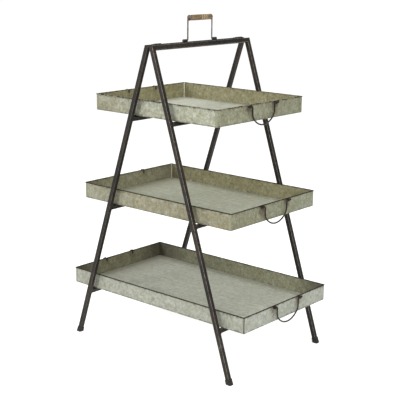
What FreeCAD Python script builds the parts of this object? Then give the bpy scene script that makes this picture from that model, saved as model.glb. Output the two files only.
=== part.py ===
import FreeCAD, Part
import math
import os

import Sketcher

# A folding A-frame display shelf: two leaning frames of square tube, hinged together at the top,
# carry three open sheet trays on crossbars. Each tray lifts out and has a wire bail at both ends,
# and a wire bail with a turned wooden grip stands over the hinges to carry the folded stand.
# X runs along the trays, Y along the hinge line and Z up. The origin is on the floor at the middle.
# Near is the -Y side and right is the +X side.

NEAR = -1
FAR = 1
FULL_TURN = 360
TOLERANCE = 1e-4
VOLUME_SHARE = 0.001

SIZES = (
    ("tube_side", 12.0, "outside width of the square tube"),
    ("tube_wall", 1.2, "wall of the square tube"),
    ("tube_corner", 1.5, "outside corner radius of the square tube"),
    ("frame_lean", 18.0, "lean of each frame from upright, in degrees"),
    ("folded_gap", 0.6, "space between the two frames when they are folded shut"),
    ("leg_clearance", 8.0, "space between a tray's rim and the legs beside it"),
    ("hinge_axis_height", 845.0, "fold axis above the floor"),
    ("top_tray_drop", 189.0, "underside of the top tray below the fold axis"),
    ("middle_tray_step", 261.0, "underside of the middle tray above that of the bottom tray"),
    ("bottom_tray_height", 140.0, "underside of the bottom tray above the floor"),
    ("seat_clearance", 0.3, "space between a tray and the crossbars that carry it"),
    ("foot_wall", 1.2, "wall of a foot cap"),
    ("foot_flare", 0.7, "how far a foot cap widens on each side towards the floor"),
    ("foot_height", 15.0, "height of a foot cap along the leg"),
    ("foot_sole", 4.0, "end of the leg above the floor, along the leg"),
    ("foot_fit", 0.1, "clearance of a foot cap round the tube"),
    ("foot_chamfer", 0.7, "chamfer of a foot cap's upper lip"),
    ("hinge_inset", 9.0, "end of a hinge from the inner face of the leg beside it"),
    ("hinge_length", 26.0, "length of a hinge along its pin"),
    ("knuckle_wall", 1.6, "wall of the hinge knuckles round their bore"),
    ("knuckle_lift", 0.15, "space between a knuckle and the tube below it"),
    ("knuckle_gap", 0.3, "space between neighbouring knuckles"),
    ("leaf_thickness", 1.2, "plate of a hinge leaf"),
    ("leaf_inset", 1.8, "outer edge of a hinge leaf from the outer face of its bar"),
    ("leaf_corner", 2.0, "rounding of a hinge leaf's outer corners"),
    ("pin_diameter", 3.0, "hinge pin"),
    ("pin_fit", 0.15, "clearance of a hinge pin in its knuckles"),
    ("pin_head_rise", 0.8, "how far a hinge pin's upset heads stand out round it"),
    ("pin_head_length", 0.9, "length of a hinge pin's head"),
    ("handle_rise", 4.4, "swing axis of the carrying handle above the fold axis"),
    ("handle_wire", 4.0, "wire of the carrying handle"),
    ("handle_height", 59.0, "grip axis above the swing axis"),
    ("handle_foot_bend", 3.5, "bend where a handle leg turns out into its clip"),
    ("handle_top_bend", 3.5, "bend where a handle leg turns into the grip"),
    ("handle_overhang", 2.3, "end of the wire outside its clip"),
    ("clip_gap", 0.5, "space between a clip and the bend of the wire beside it"),
    ("clip_length", 14.0, "handle clip along the wire"),
    ("clip_strap", 1.6, "thickness of a handle clip round the wire"),
    ("clip_riser", 3.0, "thickness of a handle clip's neck"),
    ("clip_inset", 1.5, "outer edge of a handle clip's foot from the outer face of the bar"),
    ("clip_fit", 0.3, "clearance of the wire in a handle clip"),
    ("grip_length", 92.0, "wooden grip"),
    ("grip_play", 1.2, "space between the grip's end and each leg of the handle"),
    ("grip_neck_diameter", 13.4, "narrowest part of the grip, beside its beads"),
    ("grip_belly_rise", 0.6, "how far the middle of the grip stands out over its neck"),
    ("grip_bead_rise", 1.1, "how far a bead of the grip stands out over its neck"),
    ("grip_bead", 5.0, "length of a bead of the grip"),
    ("grip_fit", 0.4, "clearance of the wire in the grip"),
    ("sheet", 0.8, "sheet metal of the trays"),
    ("tray_width", 362.0, "trays over their rims, along the hinge line"),
    ("tray_depth", 45.0, "underside to rim of a tray"),
    ("top_tray_length", 432.0, "top tray over its rims"),
    ("middle_tray_length", 530.0, "middle tray over its rims"),
    ("bottom_tray_length", 626.0, "bottom tray over its rims"),
    ("rim_height", 3.0, "height of the beaded rim"),
    ("rim_proud", 1.1, "how far the rim stands out of the wall"),
    ("rim_round", 0.9, "rounding of the rim's outer edges"),
    ("fold_radius", 1.6, "outside radius of the folds between floor and walls"),
    ("tab_width", 6.0, "lapped tab at each corner of a tray"),
    ("tab_proud", 0.6, "how far a lapped tab stands out of the wall"),
    ("split_pin", 3.2, "shank of a split pin, which is folded from half round wire"),
    ("split_pin_chamfer", 0.6, "easing of the outer edges of a split pin's eye"),
    ("eye_play", 0.6, "clearance of a bail in its eyes"),
    ("eye_gap", 1.4, "space between an eye and the bend of the bail beside it"),
    ("eye_rim_gap", 0.7, "space between an eye and the outer face of the rim"),
    ("shank_fit", 0.2, "clearance of a shank in the tray's wall"),
    ("tongue_length", 7.0, "lower leg of a split pin, turned down inside the tray"),
    ("tongue_return", 3.6, "upper leg of a split pin, turned up inside the tray"),
    ("bail_wire", 4.0, "wire of the trays' bails"),
    ("bail_leg_station", 47.0, "bail leg from the middle of the tray's end"),
    ("bail_straight", 18.0, "straight part of a bail leg below the swing axis"),
    ("bail_drop", 52.5, "bottom of a bail below its swing axis"),
    ("bail_side_radius", 25.0, "tighter bends of a bail, next to its legs"),
    ("bail_bend", 5.0, "bend where a bail leg turns out through its eye"),
    ("bail_overhang", 2.9, "wire between an eye and the head outside it"),
    ("bail_head_rise", 1.2, "how far the upset head that keeps a bail in its eye stands out"),
    ("bail_head_length", 2.5, "length of that head"),
    ("cut_overrun", 1.0, "how far a cutting outline runs past what it cuts"),
)

WORKED = (
    ("half_tube", "sizes.tube_side / 2", "half the width of the tube"),
    ("bore_side", "sizes.tube_side - 2 * sizes.tube_wall", "inside width of the tube"),
    ("bore_corner", "max(sizes.tube_corner - sizes.tube_wall; sizes.tube_wall / 4)",
     "inside corner radius of the tube"),
    ("tube_plane", "sizes.tube_side / 2 + sizes.folded_gap / 2", "middle of a frame from the fold axis"),
    ("tube_outer", "sizes.folded_gap / 2 + sizes.tube_side", "outer face of a frame from the fold axis"),
    ("knuckle_radius", "sizes.pin_diameter / 2 + sizes.pin_fit + sizes.knuckle_wall", "half a knuckle"),
    ("bar_top", "-(worked.knuckle_radius + sizes.knuckle_lift)", "upper face of a top bar"),
    ("leg_inner", "sizes.tray_width / 2 + sizes.leg_clearance", "inner face of a leg"),
    ("leg_station", "worked.leg_inner + sizes.tube_side / 2", "leg's centre line from the middle"),
    ("leg_outer", "worked.leg_inner + sizes.tube_side", "outer face of a leg"),
    ("top_tray_seat", "sizes.hinge_axis_height - sizes.top_tray_drop", "underside of the top tray"),
    ("middle_tray_seat", "sizes.bottom_tray_height + sizes.middle_tray_step",
     "underside of the middle tray"),
    ("bottom_tray_seat", "sizes.bottom_tray_height", "underside of the bottom tray"),
    ("floor_level", "-(sizes.hinge_axis_height + worked.tube_plane * sin(sizes.frame_lean))"
     " / cos(sizes.frame_lean)", "where a leg's centre line meets the floor"),
    ("leg_end", "worked.floor_level + sizes.foot_sole", "lower end of a leg"),
    ("leg_length", "worked.bar_top - worked.leg_end", "leg from its end to the top of the frame"),
    ("foot_side", "sizes.tube_side + 2 * sizes.foot_fit + 2 * sizes.foot_wall", "foot cap at its lip"),
    ("foot_low", "(worked.foot_side / 2 + sizes.foot_flare) * tan(sizes.frame_lean) + sizes.cut_overrun",
     "how far a foot cap is made below the floor before its sole is cut level"),
    ("hinge_station", "worked.leg_inner - sizes.hinge_inset - sizes.hinge_length / 2",
     "middle of a hinge from the middle of the stand"),
    ("knuckle_length", "(sizes.hinge_length - 2 * sizes.knuckle_gap) / 3", "one knuckle"),
    ("leaf_top", "worked.bar_top + sizes.leaf_thickness", "upper face of a hinge leaf"),
    ("leaf_root", "worked.knuckle_radius + sizes.knuckle_gap", "inner edge of a leaf beside a knuckle"),
    ("leaf_edge", "worked.tube_outer - sizes.leaf_inset", "outer edge of a hinge leaf"),
    ("leaf_touch", "sqrt(worked.knuckle_radius ^ 2 - worked.leaf_top ^ 2)",
     "where the upper face of a leaf runs into its knuckle"),
    ("clip_radius", "sizes.handle_wire / 2 + sizes.clip_fit + sizes.clip_strap", "outside of a clip"),
    ("clip_edge", "worked.tube_outer - sizes.clip_inset", "outer edge of a clip's foot"),
    ("handle_leg", "sizes.grip_length / 2 + sizes.grip_play + sizes.handle_wire / 2",
     "leg of the handle from the middle of the stand"),
    ("clip_start", "worked.handle_leg + sizes.handle_foot_bend + sizes.clip_gap",
     "inner end of a clip from the middle of the stand"),
    ("clip_station", "worked.clip_start + sizes.clip_length / 2", "middle of a clip"),
    ("handle_end", "worked.clip_start + sizes.clip_length + sizes.handle_overhang",
     "end of the handle's wire"),
    ("clip_x", "sizes.handle_rise * sin(sizes.frame_lean)", "swing axis across the right frame"),
    ("clip_z", "sizes.handle_rise * cos(sizes.frame_lean)", "swing axis up the right frame"),
    ("neck_in", "sizes.folded_gap / 2", "inner face of a clip's neck"),
    ("neck_out", "sizes.folded_gap / 2 + sizes.clip_riser", "outer face of a clip's neck"),
    ("neck_in_z", "worked.clip_z - sqrt(worked.clip_radius ^ 2 - (worked.clip_x - worked.neck_in) ^ 2)",
     "where a clip's neck meets its loop, on the inner side"),
    ("neck_out_z", "worked.clip_z - sqrt(worked.clip_radius ^ 2 - (worked.neck_out - worked.clip_x) ^ 2)",
     "where a clip's neck meets its loop, on the outer side"),
    ("grip_bore", "sizes.handle_wire / 2 + sizes.grip_fit", "radius of the hole in the grip"),
    ("grip_half", "sizes.grip_length / 2", "half the grip"),
    ("bead_inner", "sizes.grip_length / 2 - sizes.grip_bead", "inner end of a bead of the grip"),
    ("bead_round", "sizes.grip_bead ^ 2 / (8 * sizes.grip_bead_rise) + sizes.grip_bead_rise / 2",
     "radius of a bead's arch along the grip"),
    ("belly_round", "worked.bead_inner ^ 2 / (2 * sizes.grip_belly_rise) + sizes.grip_belly_rise / 2",
     "radius of the belly's arch along the grip"),
    ("wall_width", "sizes.tray_width - 2 * sizes.rim_proud", "tray over its walls"),
    ("inner_width", "worked.wall_width - 2 * sizes.sheet", "tray between its walls"),
    ("eye_bore", "sizes.bail_wire + 2 * sizes.eye_play", "inside of an eye"),
    ("eye_radius", "worked.eye_bore / 2 + sizes.split_pin / 2", "outside of an eye"),
    ("eye_level", "sizes.tray_depth - worked.eye_radius", "eyes above the underside of a tray"),
    ("eye_reach", "sizes.rim_proud + sizes.eye_rim_gap + worked.eye_radius",
     "centre of an eye outside the tray's wall"),
    ("eye_station", "sizes.bail_leg_station + sizes.bail_bend + sizes.eye_gap + sizes.split_pin / 2",
     "eye from the middle of the tray's end"),
    ("bail_low_radius", "((sizes.bail_leg_station - sizes.bail_side_radius) ^ 2"
     " + (sizes.bail_drop - sizes.bail_straight) ^ 2 - sizes.bail_side_radius ^ 2)"
     " / (2 * (sizes.bail_drop - sizes.bail_straight - sizes.bail_side_radius))",
     "wider bend along the bottom of a bail, tangent to the tighter ones"),
    ("bail_low_centre", "worked.bail_low_radius - sizes.bail_drop", "centre of that bend"),
    ("bail_share", "worked.bail_low_radius / (worked.bail_low_radius - sizes.bail_side_radius)",
     "share of the way from that centre through a side bend's centre to the point where they meet"),
    ("bail_meet_y", "(sizes.bail_leg_station - sizes.bail_side_radius) * worked.bail_share",
     "where the bends of a bail meet, from its middle"),
    ("bail_meet_z", "worked.bail_low_centre"
     " - (sizes.bail_straight + worked.bail_low_centre) * worked.bail_share",
     "where the bends of a bail meet, up from its swing axis"),
    ("bail_tail", "worked.eye_station + sizes.split_pin / 2 + sizes.bail_overhang",
     "inner face of a bail's head from the middle of the tray's end"),
)

RIGHT_FRAME = ("placement(vector(0; 0; sizes.hinge_axis_height);"
               " rotation(vector(0; 1; 0); -sizes.frame_lean))")
LEFT_FRAME = ("placement(vector(0; 0; sizes.hinge_axis_height);"
              " rotation(vector(0; 0; 1); 180) * rotation(vector(0; 1; 0); -sizes.frame_lean))")

document = FreeCAD.newDocument("display_shelf")
pieces = []


def fill_sheet(name, rows, lead=""):
    """Write one row for each size: its name, its value under an alias, and what it is."""
    sheet = document.addObject("Spreadsheet::Sheet", name)
    for number, (alias, value, note) in enumerate(rows, start=1):
        sheet.set(f"A{number}", alias)
        sheet.set(f"B{number}", f"{lead}{value}")
        sheet.setAlias(f"B{number}", alias)
        sheet.set(f"C{number}", note)
    document.recompute()
    return sheet


sizes = fill_sheet("sizes", SIZES)
worked = fill_sheet("worked", WORKED, lead="=")


def amount(expression):
    """The number that an expression has with the sizes as they are now."""
    result = sizes.evalExpression(expression)
    return float(getattr(result, "Value", result))


def new_body(label, placement):
    """Start a sub-part that stands where its placement says."""
    body = document.addObject("PartDesign::Body", label)
    body.Label = label
    body.setExpression("Placement", placement)
    pieces.append(body)
    return body


def standing(x="0", y="0", z="0", turn="0"):
    """The placement of an upright sub-part, turned about Z by so many degrees."""
    return f"placement(vector({x}; {y}; {z}); rotation(vector(0; 0; 1); {turn}))"


def new_sketch(body, name, role, x="0", y="0", z="0", turn="0"):
    """Attach a sketch to one of the body's own planes, moved and turned within that plane."""
    plane = next(item for item in body.Origin.OriginFeatures if item.Role == role)
    sketch = body.newObject("Sketcher::SketchObject", name)
    sketch.AttachmentSupport = (plane, [""])
    sketch.MapMode = "FlatFace"
    sketch.setExpression("AttachmentOffset", standing(x, y, z, turn))
    return sketch


def fix_point(sketch, geometry, position, x, y):
    """Hold one point of a sketch at a pair of expressions."""
    for kind, value, axis in (("DistanceX", x, -2), ("DistanceY", y, -1)):
        if value == "0":
            sketch.addConstraint(Sketcher.Constraint("PointOnObject", geometry, position, axis))
            continue
        held = Sketcher.Constraint(kind, -1, 1, geometry, position, amount(value))
        index = sketch.addConstraint(held)
        sketch.setExpression(f"Constraints[{index}]", value)


def arc_between(start, end, radius):
    """The shorter arc from start to end: anticlockwise for a positive radius, else clockwise."""
    chord = end - start
    height = math.sqrt(max(radius ** 2 - (chord.Length / 2) ** 2, 0))
    across = FreeCAD.Vector(-chord.y, chord.x, 0)
    across.normalize()
    centre = (start + end) / 2 + across * math.copysign(height, radius)
    angles = [math.atan2(point.y - centre.y, point.x - centre.x) for point in (start, end)]
    if radius < 0:
        angles.reverse()
    if angles[1] <= angles[0]:
        angles[1] += 2 * math.pi
    circle = Part.Circle(centre, FreeCAD.Vector(0, 0, 1), abs(radius))
    return Part.ArcOfCircle(circle, angles[0], angles[1])


def draw(sketch, corners, closed=True):
    """Draw an outline through corners that are pairs of expressions.

    A corner with a third expression starts an arc of that radius: anticlockwise, or clockwise
    where a minus sign leads it. All other corners start a straight line.
    """
    first = sketch.GeometryCount
    points = [FreeCAD.Vector(amount(corner[0]), amount(corner[1]), 0) for corner in corners]
    count = len(corners) if closed else len(corners) - 1
    ends = []
    for index in range(count):
        start = points[index]
        end = points[(index + 1) % len(points)]
        if len(corners[index]) == 2:
            sketch.addGeometry(Part.LineSegment(start, end), False)
            ends.append((1, 2))
            continue
        radius = corners[index][2]
        number = sketch.addGeometry(arc_between(start, end, amount(radius)), False)
        ends.append((2, 1) if radius.startswith("-") else (1, 2))
        held = Sketcher.Constraint("Radius", number, abs(amount(radius)))
        sketch.setExpression(f"Constraints[{sketch.addConstraint(held)}]", radius.lstrip("-"))
    for index in range(count):
        fix_point(sketch, first + index, ends[index][0], corners[index][0], corners[index][1])
        following = (index + 1) % count
        if closed or following:
            sketch.addConstraint(Sketcher.Constraint(
                "Coincident", first + index, ends[index][1], first + following, ends[following][0]))
    if not closed:
        fix_point(sketch, first + count - 1, ends[-1][1], corners[-1][0], corners[-1][1])


def draw_rectangle(sketch, left, right, low, high):
    """Draw a rectangle between four expressions."""
    draw(sketch, ((left, low), (right, low), (right, high), (left, high)))


def draw_rounded(sketch, width, height, radius):
    """Draw a rectangle with rounded corners round the middle of the sketch."""
    across = f"({width}) / 2"
    up = f"({height}) / 2"
    draw(sketch, (
        (f"{radius} - {across}", f"-({up})"), (f"{across} - {radius}", f"-({up})", radius),
        (across, f"{radius} - {up}"), (across, f"{up} - {radius}", radius),
        (f"{across} - {radius}", up), (f"{radius} - {across}", up, radius),
        (f"-({across})", f"{up} - {radius}"), (f"-({across})", f"{radius} - {up}", radius)))


def draw_circle(sketch, x, y, diameter):
    """Draw a circle at a pair of expressions."""
    centre = FreeCAD.Vector(amount(x), amount(y), 0)
    circle = Part.Circle(centre, FreeCAD.Vector(0, 0, 1), amount(diameter) / 2)
    number = sketch.addGeometry(circle, False)
    fix_point(sketch, number, 3, x, y)
    held = Sketcher.Constraint("Diameter", number, amount(diameter))
    sketch.setExpression(f"Constraints[{sketch.addConstraint(held)}]", diameter)


def pad(body, name, sketch, length, both_ways=False, backwards=False):
    """Add the sketch's outline as a solid of that length."""
    feature = body.newObject("PartDesign::Pad", name)
    feature.Profile = sketch
    feature.setExpression("Length", length)
    feature.SideType = "Symmetric" if both_ways else "One side"
    feature.Reversed = backwards
    document.recompute()
    return feature


def pocket(body, name, sketch, length=None, backwards=False):
    """Cut the sketch's outline to a depth, or right through both ways where none is given."""
    feature = body.newObject("PartDesign::Pocket", name)
    before = feature.BaseFeature.Shape.Volume
    feature.Profile = sketch
    if length is None:
        feature.Type = "ThroughAll"
        feature.SideType = "Symmetric"
    else:
        feature.setExpression("Length", length)
        feature.Reversed = backwards
    document.recompute()
    if not 0 < feature.Shape.Volume < before:
        raise RuntimeError(f"{body.Label}: {name} cuts nothing")
    return feature


def revolve(body, name, sketch, axis):
    """Turn the sketch's outline once round one of its own axes."""
    feature = body.newObject("PartDesign::Revolution", name)
    feature.Profile = sketch
    feature.ReferenceAxis = (sketch, [axis])
    feature.Angle = FULL_TURN
    document.recompute()
    return feature


def sweep(body, name, section, path):
    """Run a wire's section along its path."""
    feature = body.newObject("PartDesign::AdditivePipe", name)
    feature.Profile = section
    feature.Spine = (path, [""])
    document.recompute()
    area = Part.Face(Part.Wire(section.Shape.Edges)).Area
    length = sum(edge.Length for edge in path.Shape.Edges)
    if abs(feature.Shape.Volume / (area * length) - 1) > VOLUME_SHARE:
        raise RuntimeError(f"{body.Label}: {name} isn't its section times its length")
    return feature


def ease(body, name, kind, base, size, wanted):
    """Fillet or chamfer the edges of a feature that a test picks."""
    chosen = [f"Edge{number}" for number, edge in enumerate(base.Shape.Edges, start=1) if wanted(edge)]
    feature = body.newObject(f"PartDesign::{kind}", name)
    feature.Base = (base, chosen)
    feature.setExpression("Radius" if kind == "Fillet" else "Size", size)
    document.recompute()
    return feature


def runs_along(edge, axis):
    """Whether a straight edge lies along an axis, given as a unit vector."""
    if edge.Curve.TypeId != "Part::GeomLine":
        return False
    return abs(abs(edge.Curve.Direction.dot(axis)) - 1) < TOLERANCE


def lies_at(edge, level):
    """Whether a whole edge lies at one height."""
    box = edge.BoundBox
    return abs(box.ZMin - level) < TOLERANCE and abs(box.ZMax - level) < TOLERANCE


def draw_tube(sketch):
    """Draw the hollow section of the square tube."""
    draw_rounded(sketch, "sizes.tube_side", "sizes.tube_side", "sizes.tube_corner")
    draw_rounded(sketch, "worked.bore_side", "worked.bore_side", "worked.bore_corner")


def make_leg(label, frame, side):
    """A leg: tube from the foot up to the mitre under the end of the top bar."""
    body = new_body(label, frame)
    section = new_sketch(body, "section", "XY_Plane", x="worked.tube_plane",
                         y=f"{side} * worked.leg_station", z="worked.leg_end")
    draw_tube(section)
    pad(body, "tube", section, "worked.leg_length")
    mitre = new_sketch(body, "mitre_line", "YZ_Plane")
    inner = f"{side} * (worked.leg_inner - sizes.cut_overrun)"
    outer = f"{side} * (worked.leg_outer + sizes.cut_overrun)"
    high = "worked.bar_top + sizes.cut_overrun"
    low = "worked.bar_top - sizes.tube_side - sizes.cut_overrun"
    draw(mitre, ((inner, low), (outer, high), (inner, high)))
    pocket(body, "mitre", mitre)


def make_top_bar(label, frame):
    """The top bar of a frame: tube mitred at both ends onto the legs."""
    body = new_body(label, frame)
    section = new_sketch(body, "section", "XZ_Plane", x="worked.tube_plane",
                         y="worked.bar_top - worked.half_tube")
    draw_tube(section)
    pad(body, "tube", section, "2 * worked.leg_outer", both_ways=True)
    for side, name in ((NEAR, "first"), (FAR, "second")):
        mitre = new_sketch(body, f"{name}_mitre_line", "YZ_Plane")
        inner = f"{side} * (worked.leg_inner - sizes.cut_overrun)"
        outer = f"{side} * (worked.leg_outer + sizes.cut_overrun)"
        high = "worked.bar_top + sizes.cut_overrun"
        low = "worked.bar_top - sizes.tube_side - sizes.cut_overrun"
        draw(mitre, ((inner, low), (outer, high), (outer, low)))
        pocket(body, f"{name}_mitre", mitre)


def make_crossbar(label, frame, seat):
    """A crossbar between the legs, whose highest edge is under the tray's seat."""
    body = new_body(label, frame)
    reach = "(worked.tube_plane + worked.half_tube - sizes.tube_corner) * sin(sizes.frame_lean)"
    level = (f"({seat} - sizes.seat_clearance - sizes.tube_corner - sizes.hinge_axis_height - {reach})"
             " / cos(sizes.frame_lean) - worked.half_tube + sizes.tube_corner")
    section = new_sketch(body, "section", "XZ_Plane", x="worked.tube_plane", y=level)
    draw_tube(section)
    pad(body, "tube", section, "2 * worked.leg_inner", both_ways=True)


def make_foot(label, frame, side):
    """A flared cap on the end of a leg, with a sole that lies level on the floor."""
    body = new_body(label, frame)
    place = {"x": "worked.tube_plane", "y": f"{side} * worked.leg_station"}
    flared = "worked.foot_side + 2 * sizes.foot_flare"
    low = new_sketch(body, "low_outline", "XY_Plane", z="worked.floor_level - worked.foot_low", **place)
    draw_rounded(low, flared, flared, "(sizes.tube_corner + sizes.foot_wall + sizes.foot_flare)")
    cap = pad(body, "cap", low, "worked.foot_low + sizes.foot_height")
    cap.setExpression("TaperAngle",
                      "-atan(sizes.foot_flare / (worked.foot_low + sizes.foot_height))")
    document.recompute()
    top = amount("worked.floor_level + sizes.foot_height")
    ease(body, "lip_chamfer", "Chamfer", cap, "sizes.foot_chamfer", lambda edge: lies_at(edge, top))
    bore = new_sketch(body, "bore_outline", "XY_Plane",
                      z="worked.floor_level + sizes.foot_height", **place)
    bored = "sizes.tube_side + 2 * sizes.foot_fit"
    draw_rounded(bore, bored, bored, "(sizes.tube_corner + sizes.foot_fit)")
    pocket(body, "bore", bore, "sizes.foot_height - sizes.foot_sole")
    sole = new_sketch(body, "sole_line", "XZ_Plane", x="worked.tube_plane", y="worked.floor_level",
                      turn="-sizes.frame_lean")
    draw_rectangle(sole, f"-({flared})", flared, f"-({flared})", "0")
    pocket(body, "sole", sole)


def make_hinge_leaf(label, frame, side, turns):
    """A hinge leaf: a plate on the top bar with knuckles at some of three turns along the pin."""
    body = new_body(label, frame)
    middle = f"{side} * worked.hinge_station"
    plate = new_sketch(body, "plate_outline", "XY_Plane", y=middle, z="worked.bar_top")
    half = "sizes.hinge_length / 2"
    corner = "sizes.leaf_corner"
    draw(plate, (
        ("worked.leaf_root", f"-{half}"), (f"worked.leaf_edge - {corner}", f"-{half}", corner),
        ("worked.leaf_edge", f"{corner} - {half}"), ("worked.leaf_edge", f"{half} - {corner}", corner),
        (f"worked.leaf_edge - {corner}", half), ("worked.leaf_root", half)))
    pad(body, "plate", plate, "sizes.leaf_thickness")
    radius = "worked.knuckle_radius"
    for turn in turns:
        centre = f"{middle} + {turn} * (worked.knuckle_length + sizes.knuckle_gap)"
        outline = new_sketch(body, f"knuckle_outline_{turn + 2}", "XZ_Plane", z=f"-({centre})")
        draw(outline, (
            ("worked.leaf_root", "worked.bar_top"), ("worked.leaf_root", "worked.leaf_top"),
            ("worked.leaf_touch", "worked.leaf_top", radius), ("0", radius, radius),
            (f"-{radius}", "0", radius), ("0", f"-{radius}"), ("0", "worked.bar_top")))
        pad(body, f"knuckle_{turn + 2}", outline, "worked.knuckle_length", both_ways=True)
    bore = new_sketch(body, "bore_outline", "XZ_Plane")
    draw_circle(bore, "0", "0", "sizes.pin_diameter + 2 * sizes.pin_fit")
    pocket(body, "bore", bore)


def make_hinge_pin(label, side):
    """A hinge pin, upset to a head at both ends."""
    body = new_body(label, standing(y=f"{side} * worked.hinge_station", z="sizes.hinge_axis_height"))
    outline = new_sketch(body, "half_outline", "YZ_Plane")
    shank = "(sizes.hinge_length / 2)"
    end = "(sizes.hinge_length / 2 + sizes.pin_head_length)"
    thin = "sizes.pin_diameter / 2"
    thick = "(sizes.pin_diameter / 2 + sizes.pin_head_rise)"
    draw(outline, (
        (f"-{end}", "0"), (end, "0"), (end, thin), (shank, thick), (shank, thin),
        (f"-{shank}", thin), (f"-{shank}", thick), (f"-{end}", thin)))
    revolve(body, "pin", outline, "H_Axis")


def make_handle_clip(label, side):
    """A strap clip on the right top bar, looped round the end of the handle's wire."""
    body = new_body(label, RIGHT_FRAME)
    outline = new_sketch(body, "outline", "XZ_Plane", z=f"-({side} * worked.clip_station)")
    low = "worked.bar_top"
    high = "worked.bar_top + sizes.clip_strap"
    radius = "worked.clip_radius"
    draw(outline, (
        ("worked.neck_in", low), ("worked.clip_edge", low), ("worked.clip_edge", high),
        ("worked.neck_out", high), ("worked.neck_out", "worked.neck_out_z", radius),
        (f"worked.clip_x + {radius}", "worked.clip_z", radius),
        ("worked.clip_x", f"worked.clip_z + {radius}", radius),
        (f"worked.clip_x - {radius}", "worked.clip_z", radius), ("worked.neck_in", "worked.neck_in_z")))
    pad(body, "strap", outline, "sizes.clip_length", both_ways=True)
    bore = new_sketch(body, "bore_outline", "XZ_Plane")
    draw_circle(bore, "worked.clip_x", "worked.clip_z", "sizes.handle_wire + 2 * sizes.clip_fit")
    pocket(body, "bore", bore)


def make_handle_wire(label):
    """The carrying handle's wire: a tail, a leg, the rod through the grip, a leg and a tail."""
    body = new_body(label, standing(z="sizes.hinge_axis_height + sizes.handle_rise"))
    path = new_sketch(body, "path", "YZ_Plane")
    leg = "worked.handle_leg"
    low = "sizes.handle_foot_bend"
    top = "sizes.handle_top_bend"
    tail = "worked.handle_end"
    high = "sizes.handle_height"
    draw(path, (
        (f"-{tail}", "0"), (f"-({leg} + {low})", "0", low), (f"-{leg}", low),
        (f"-{leg}", f"{high} - {top}", f"-{top}"), (f"{top} - {leg}", high),
        (f"{leg} - {top}", high, f"-{top}"), (leg, f"{high} - {top}"), (leg, low, low),
        (f"{leg} + {low}", "0"), (tail, "0")), closed=False)
    section = new_sketch(body, "section", "XZ_Plane", z=tail)
    draw_circle(section, "0", "0", "sizes.handle_wire")
    sweep(body, "wire", section, path)


def make_handle_grip(label):
    """The turned wooden grip: a bead at each end and a gentle belly between them."""
    body = new_body(label, standing(
        z="sizes.hinge_axis_height + sizes.handle_rise + sizes.handle_height"))
    outline = new_sketch(body, "half_outline", "YZ_Plane")
    end = "worked.grip_half"
    inner = "worked.bead_inner"
    neck = "(sizes.grip_neck_diameter / 2)"
    bead = "worked.bead_round"
    belly = "worked.belly_round"
    draw(outline, (
        (f"-{end}", "worked.grip_bore"), (end, "worked.grip_bore"), (end, neck, bead),
        (inner, neck, belly), ("0", f"{neck} + sizes.grip_belly_rise", belly), (f"-{inner}", neck, bead),
        (f"-{end}", neck)))
    revolve(body, "grip", outline, "H_Axis")


def make_pan(label, length, seat):
    """A tray folded from sheet: floor, four walls, a beaded rim and lapped corners."""
    body = new_body(label, standing(z=seat))
    wall_length = f"({length} - 2 * sizes.rim_proud)"
    inner_length = f"({wall_length} - 2 * sizes.sheet)"
    across = "worked.wall_width / 2"
    blank = new_sketch(body, "blank_outline", "XY_Plane")
    draw_rectangle(blank, f"-{wall_length} / 2", f"{wall_length} / 2", f"-{across}", across)
    block = pad(body, "blank", blank, "sizes.tray_depth")
    up = FreeCAD.Vector(0, 0, 1)
    ease(body, "folds", "Fillet", block, "sizes.fold_radius",
         lambda edge: lies_at(edge, 0) or runs_along(edge, up))
    hollow = new_sketch(body, "hollow_outline", "XY_Plane", z="sizes.tray_depth")
    draw_rectangle(hollow, f"-{inner_length} / 2", f"{inner_length} / 2",
                   "-worked.inner_width / 2", "worked.inner_width / 2")
    pocket(body, "hollow", hollow, "sizes.tray_depth - sizes.sheet")
    rim = new_sketch(body, "rim_outline", "XY_Plane", z="sizes.tray_depth")
    draw_rounded(rim, length, "sizes.tray_width", "sizes.fold_radius")
    draw_rectangle(rim, f"-{inner_length} / 2", f"{inner_length} / 2",
                   "-worked.inner_width / 2", "worked.inner_width / 2")
    bead = pad(body, "rim", rim, "sizes.rim_height", backwards=True)
    top = amount("sizes.tray_depth")
    edge_x = amount(f"{length} / 2")
    edge_y = amount("sizes.tray_width / 2")
    ease(body, "rim_round", "Fillet", bead, "sizes.rim_round", lambda edge: is_rim_edge(
        edge, edge_x, edge_y, (top, top - amount("sizes.rim_height"))))
    tabs = new_sketch(body, "tab_outlines", "XY_Plane", z="sizes.fold_radius")
    for side_x in ("-", ""):
        for side_y in ("-", ""):
            far_x = f"{side_x}({wall_length} / 2 - sizes.fold_radius)"
            near_x = f"{side_x}({wall_length} / 2 - sizes.fold_radius - sizes.tab_width)"
            draw_rectangle(tabs, near_x, far_x, f"{side_y}({across} - sizes.sheet / 2)",
                           f"{side_y}({across} + sizes.tab_proud)")
    pad(body, "tabs", tabs, "sizes.tray_depth - sizes.rim_height - sizes.fold_radius")
    holes = new_sketch(body, "pin_holes", "YZ_Plane")
    for side in ("-", ""):
        draw_circle(holes, f"{side}worked.eye_station", "worked.eye_level",
                    "sizes.split_pin + 2 * sizes.shank_fit")
    pocket(body, "holes", holes)


def is_rim_edge(edge, half_length, half_width, levels):
    """Whether an edge runs round the outside of the rim at one of its two levels."""
    box = edge.BoundBox
    outside = max(abs(box.XMin), abs(box.XMax)) > half_length - TOLERANCE
    outside = outside or max(abs(box.YMin), abs(box.YMax)) > half_width - TOLERANCE
    return outside and any(lies_at(edge, level) for level in levels)


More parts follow.
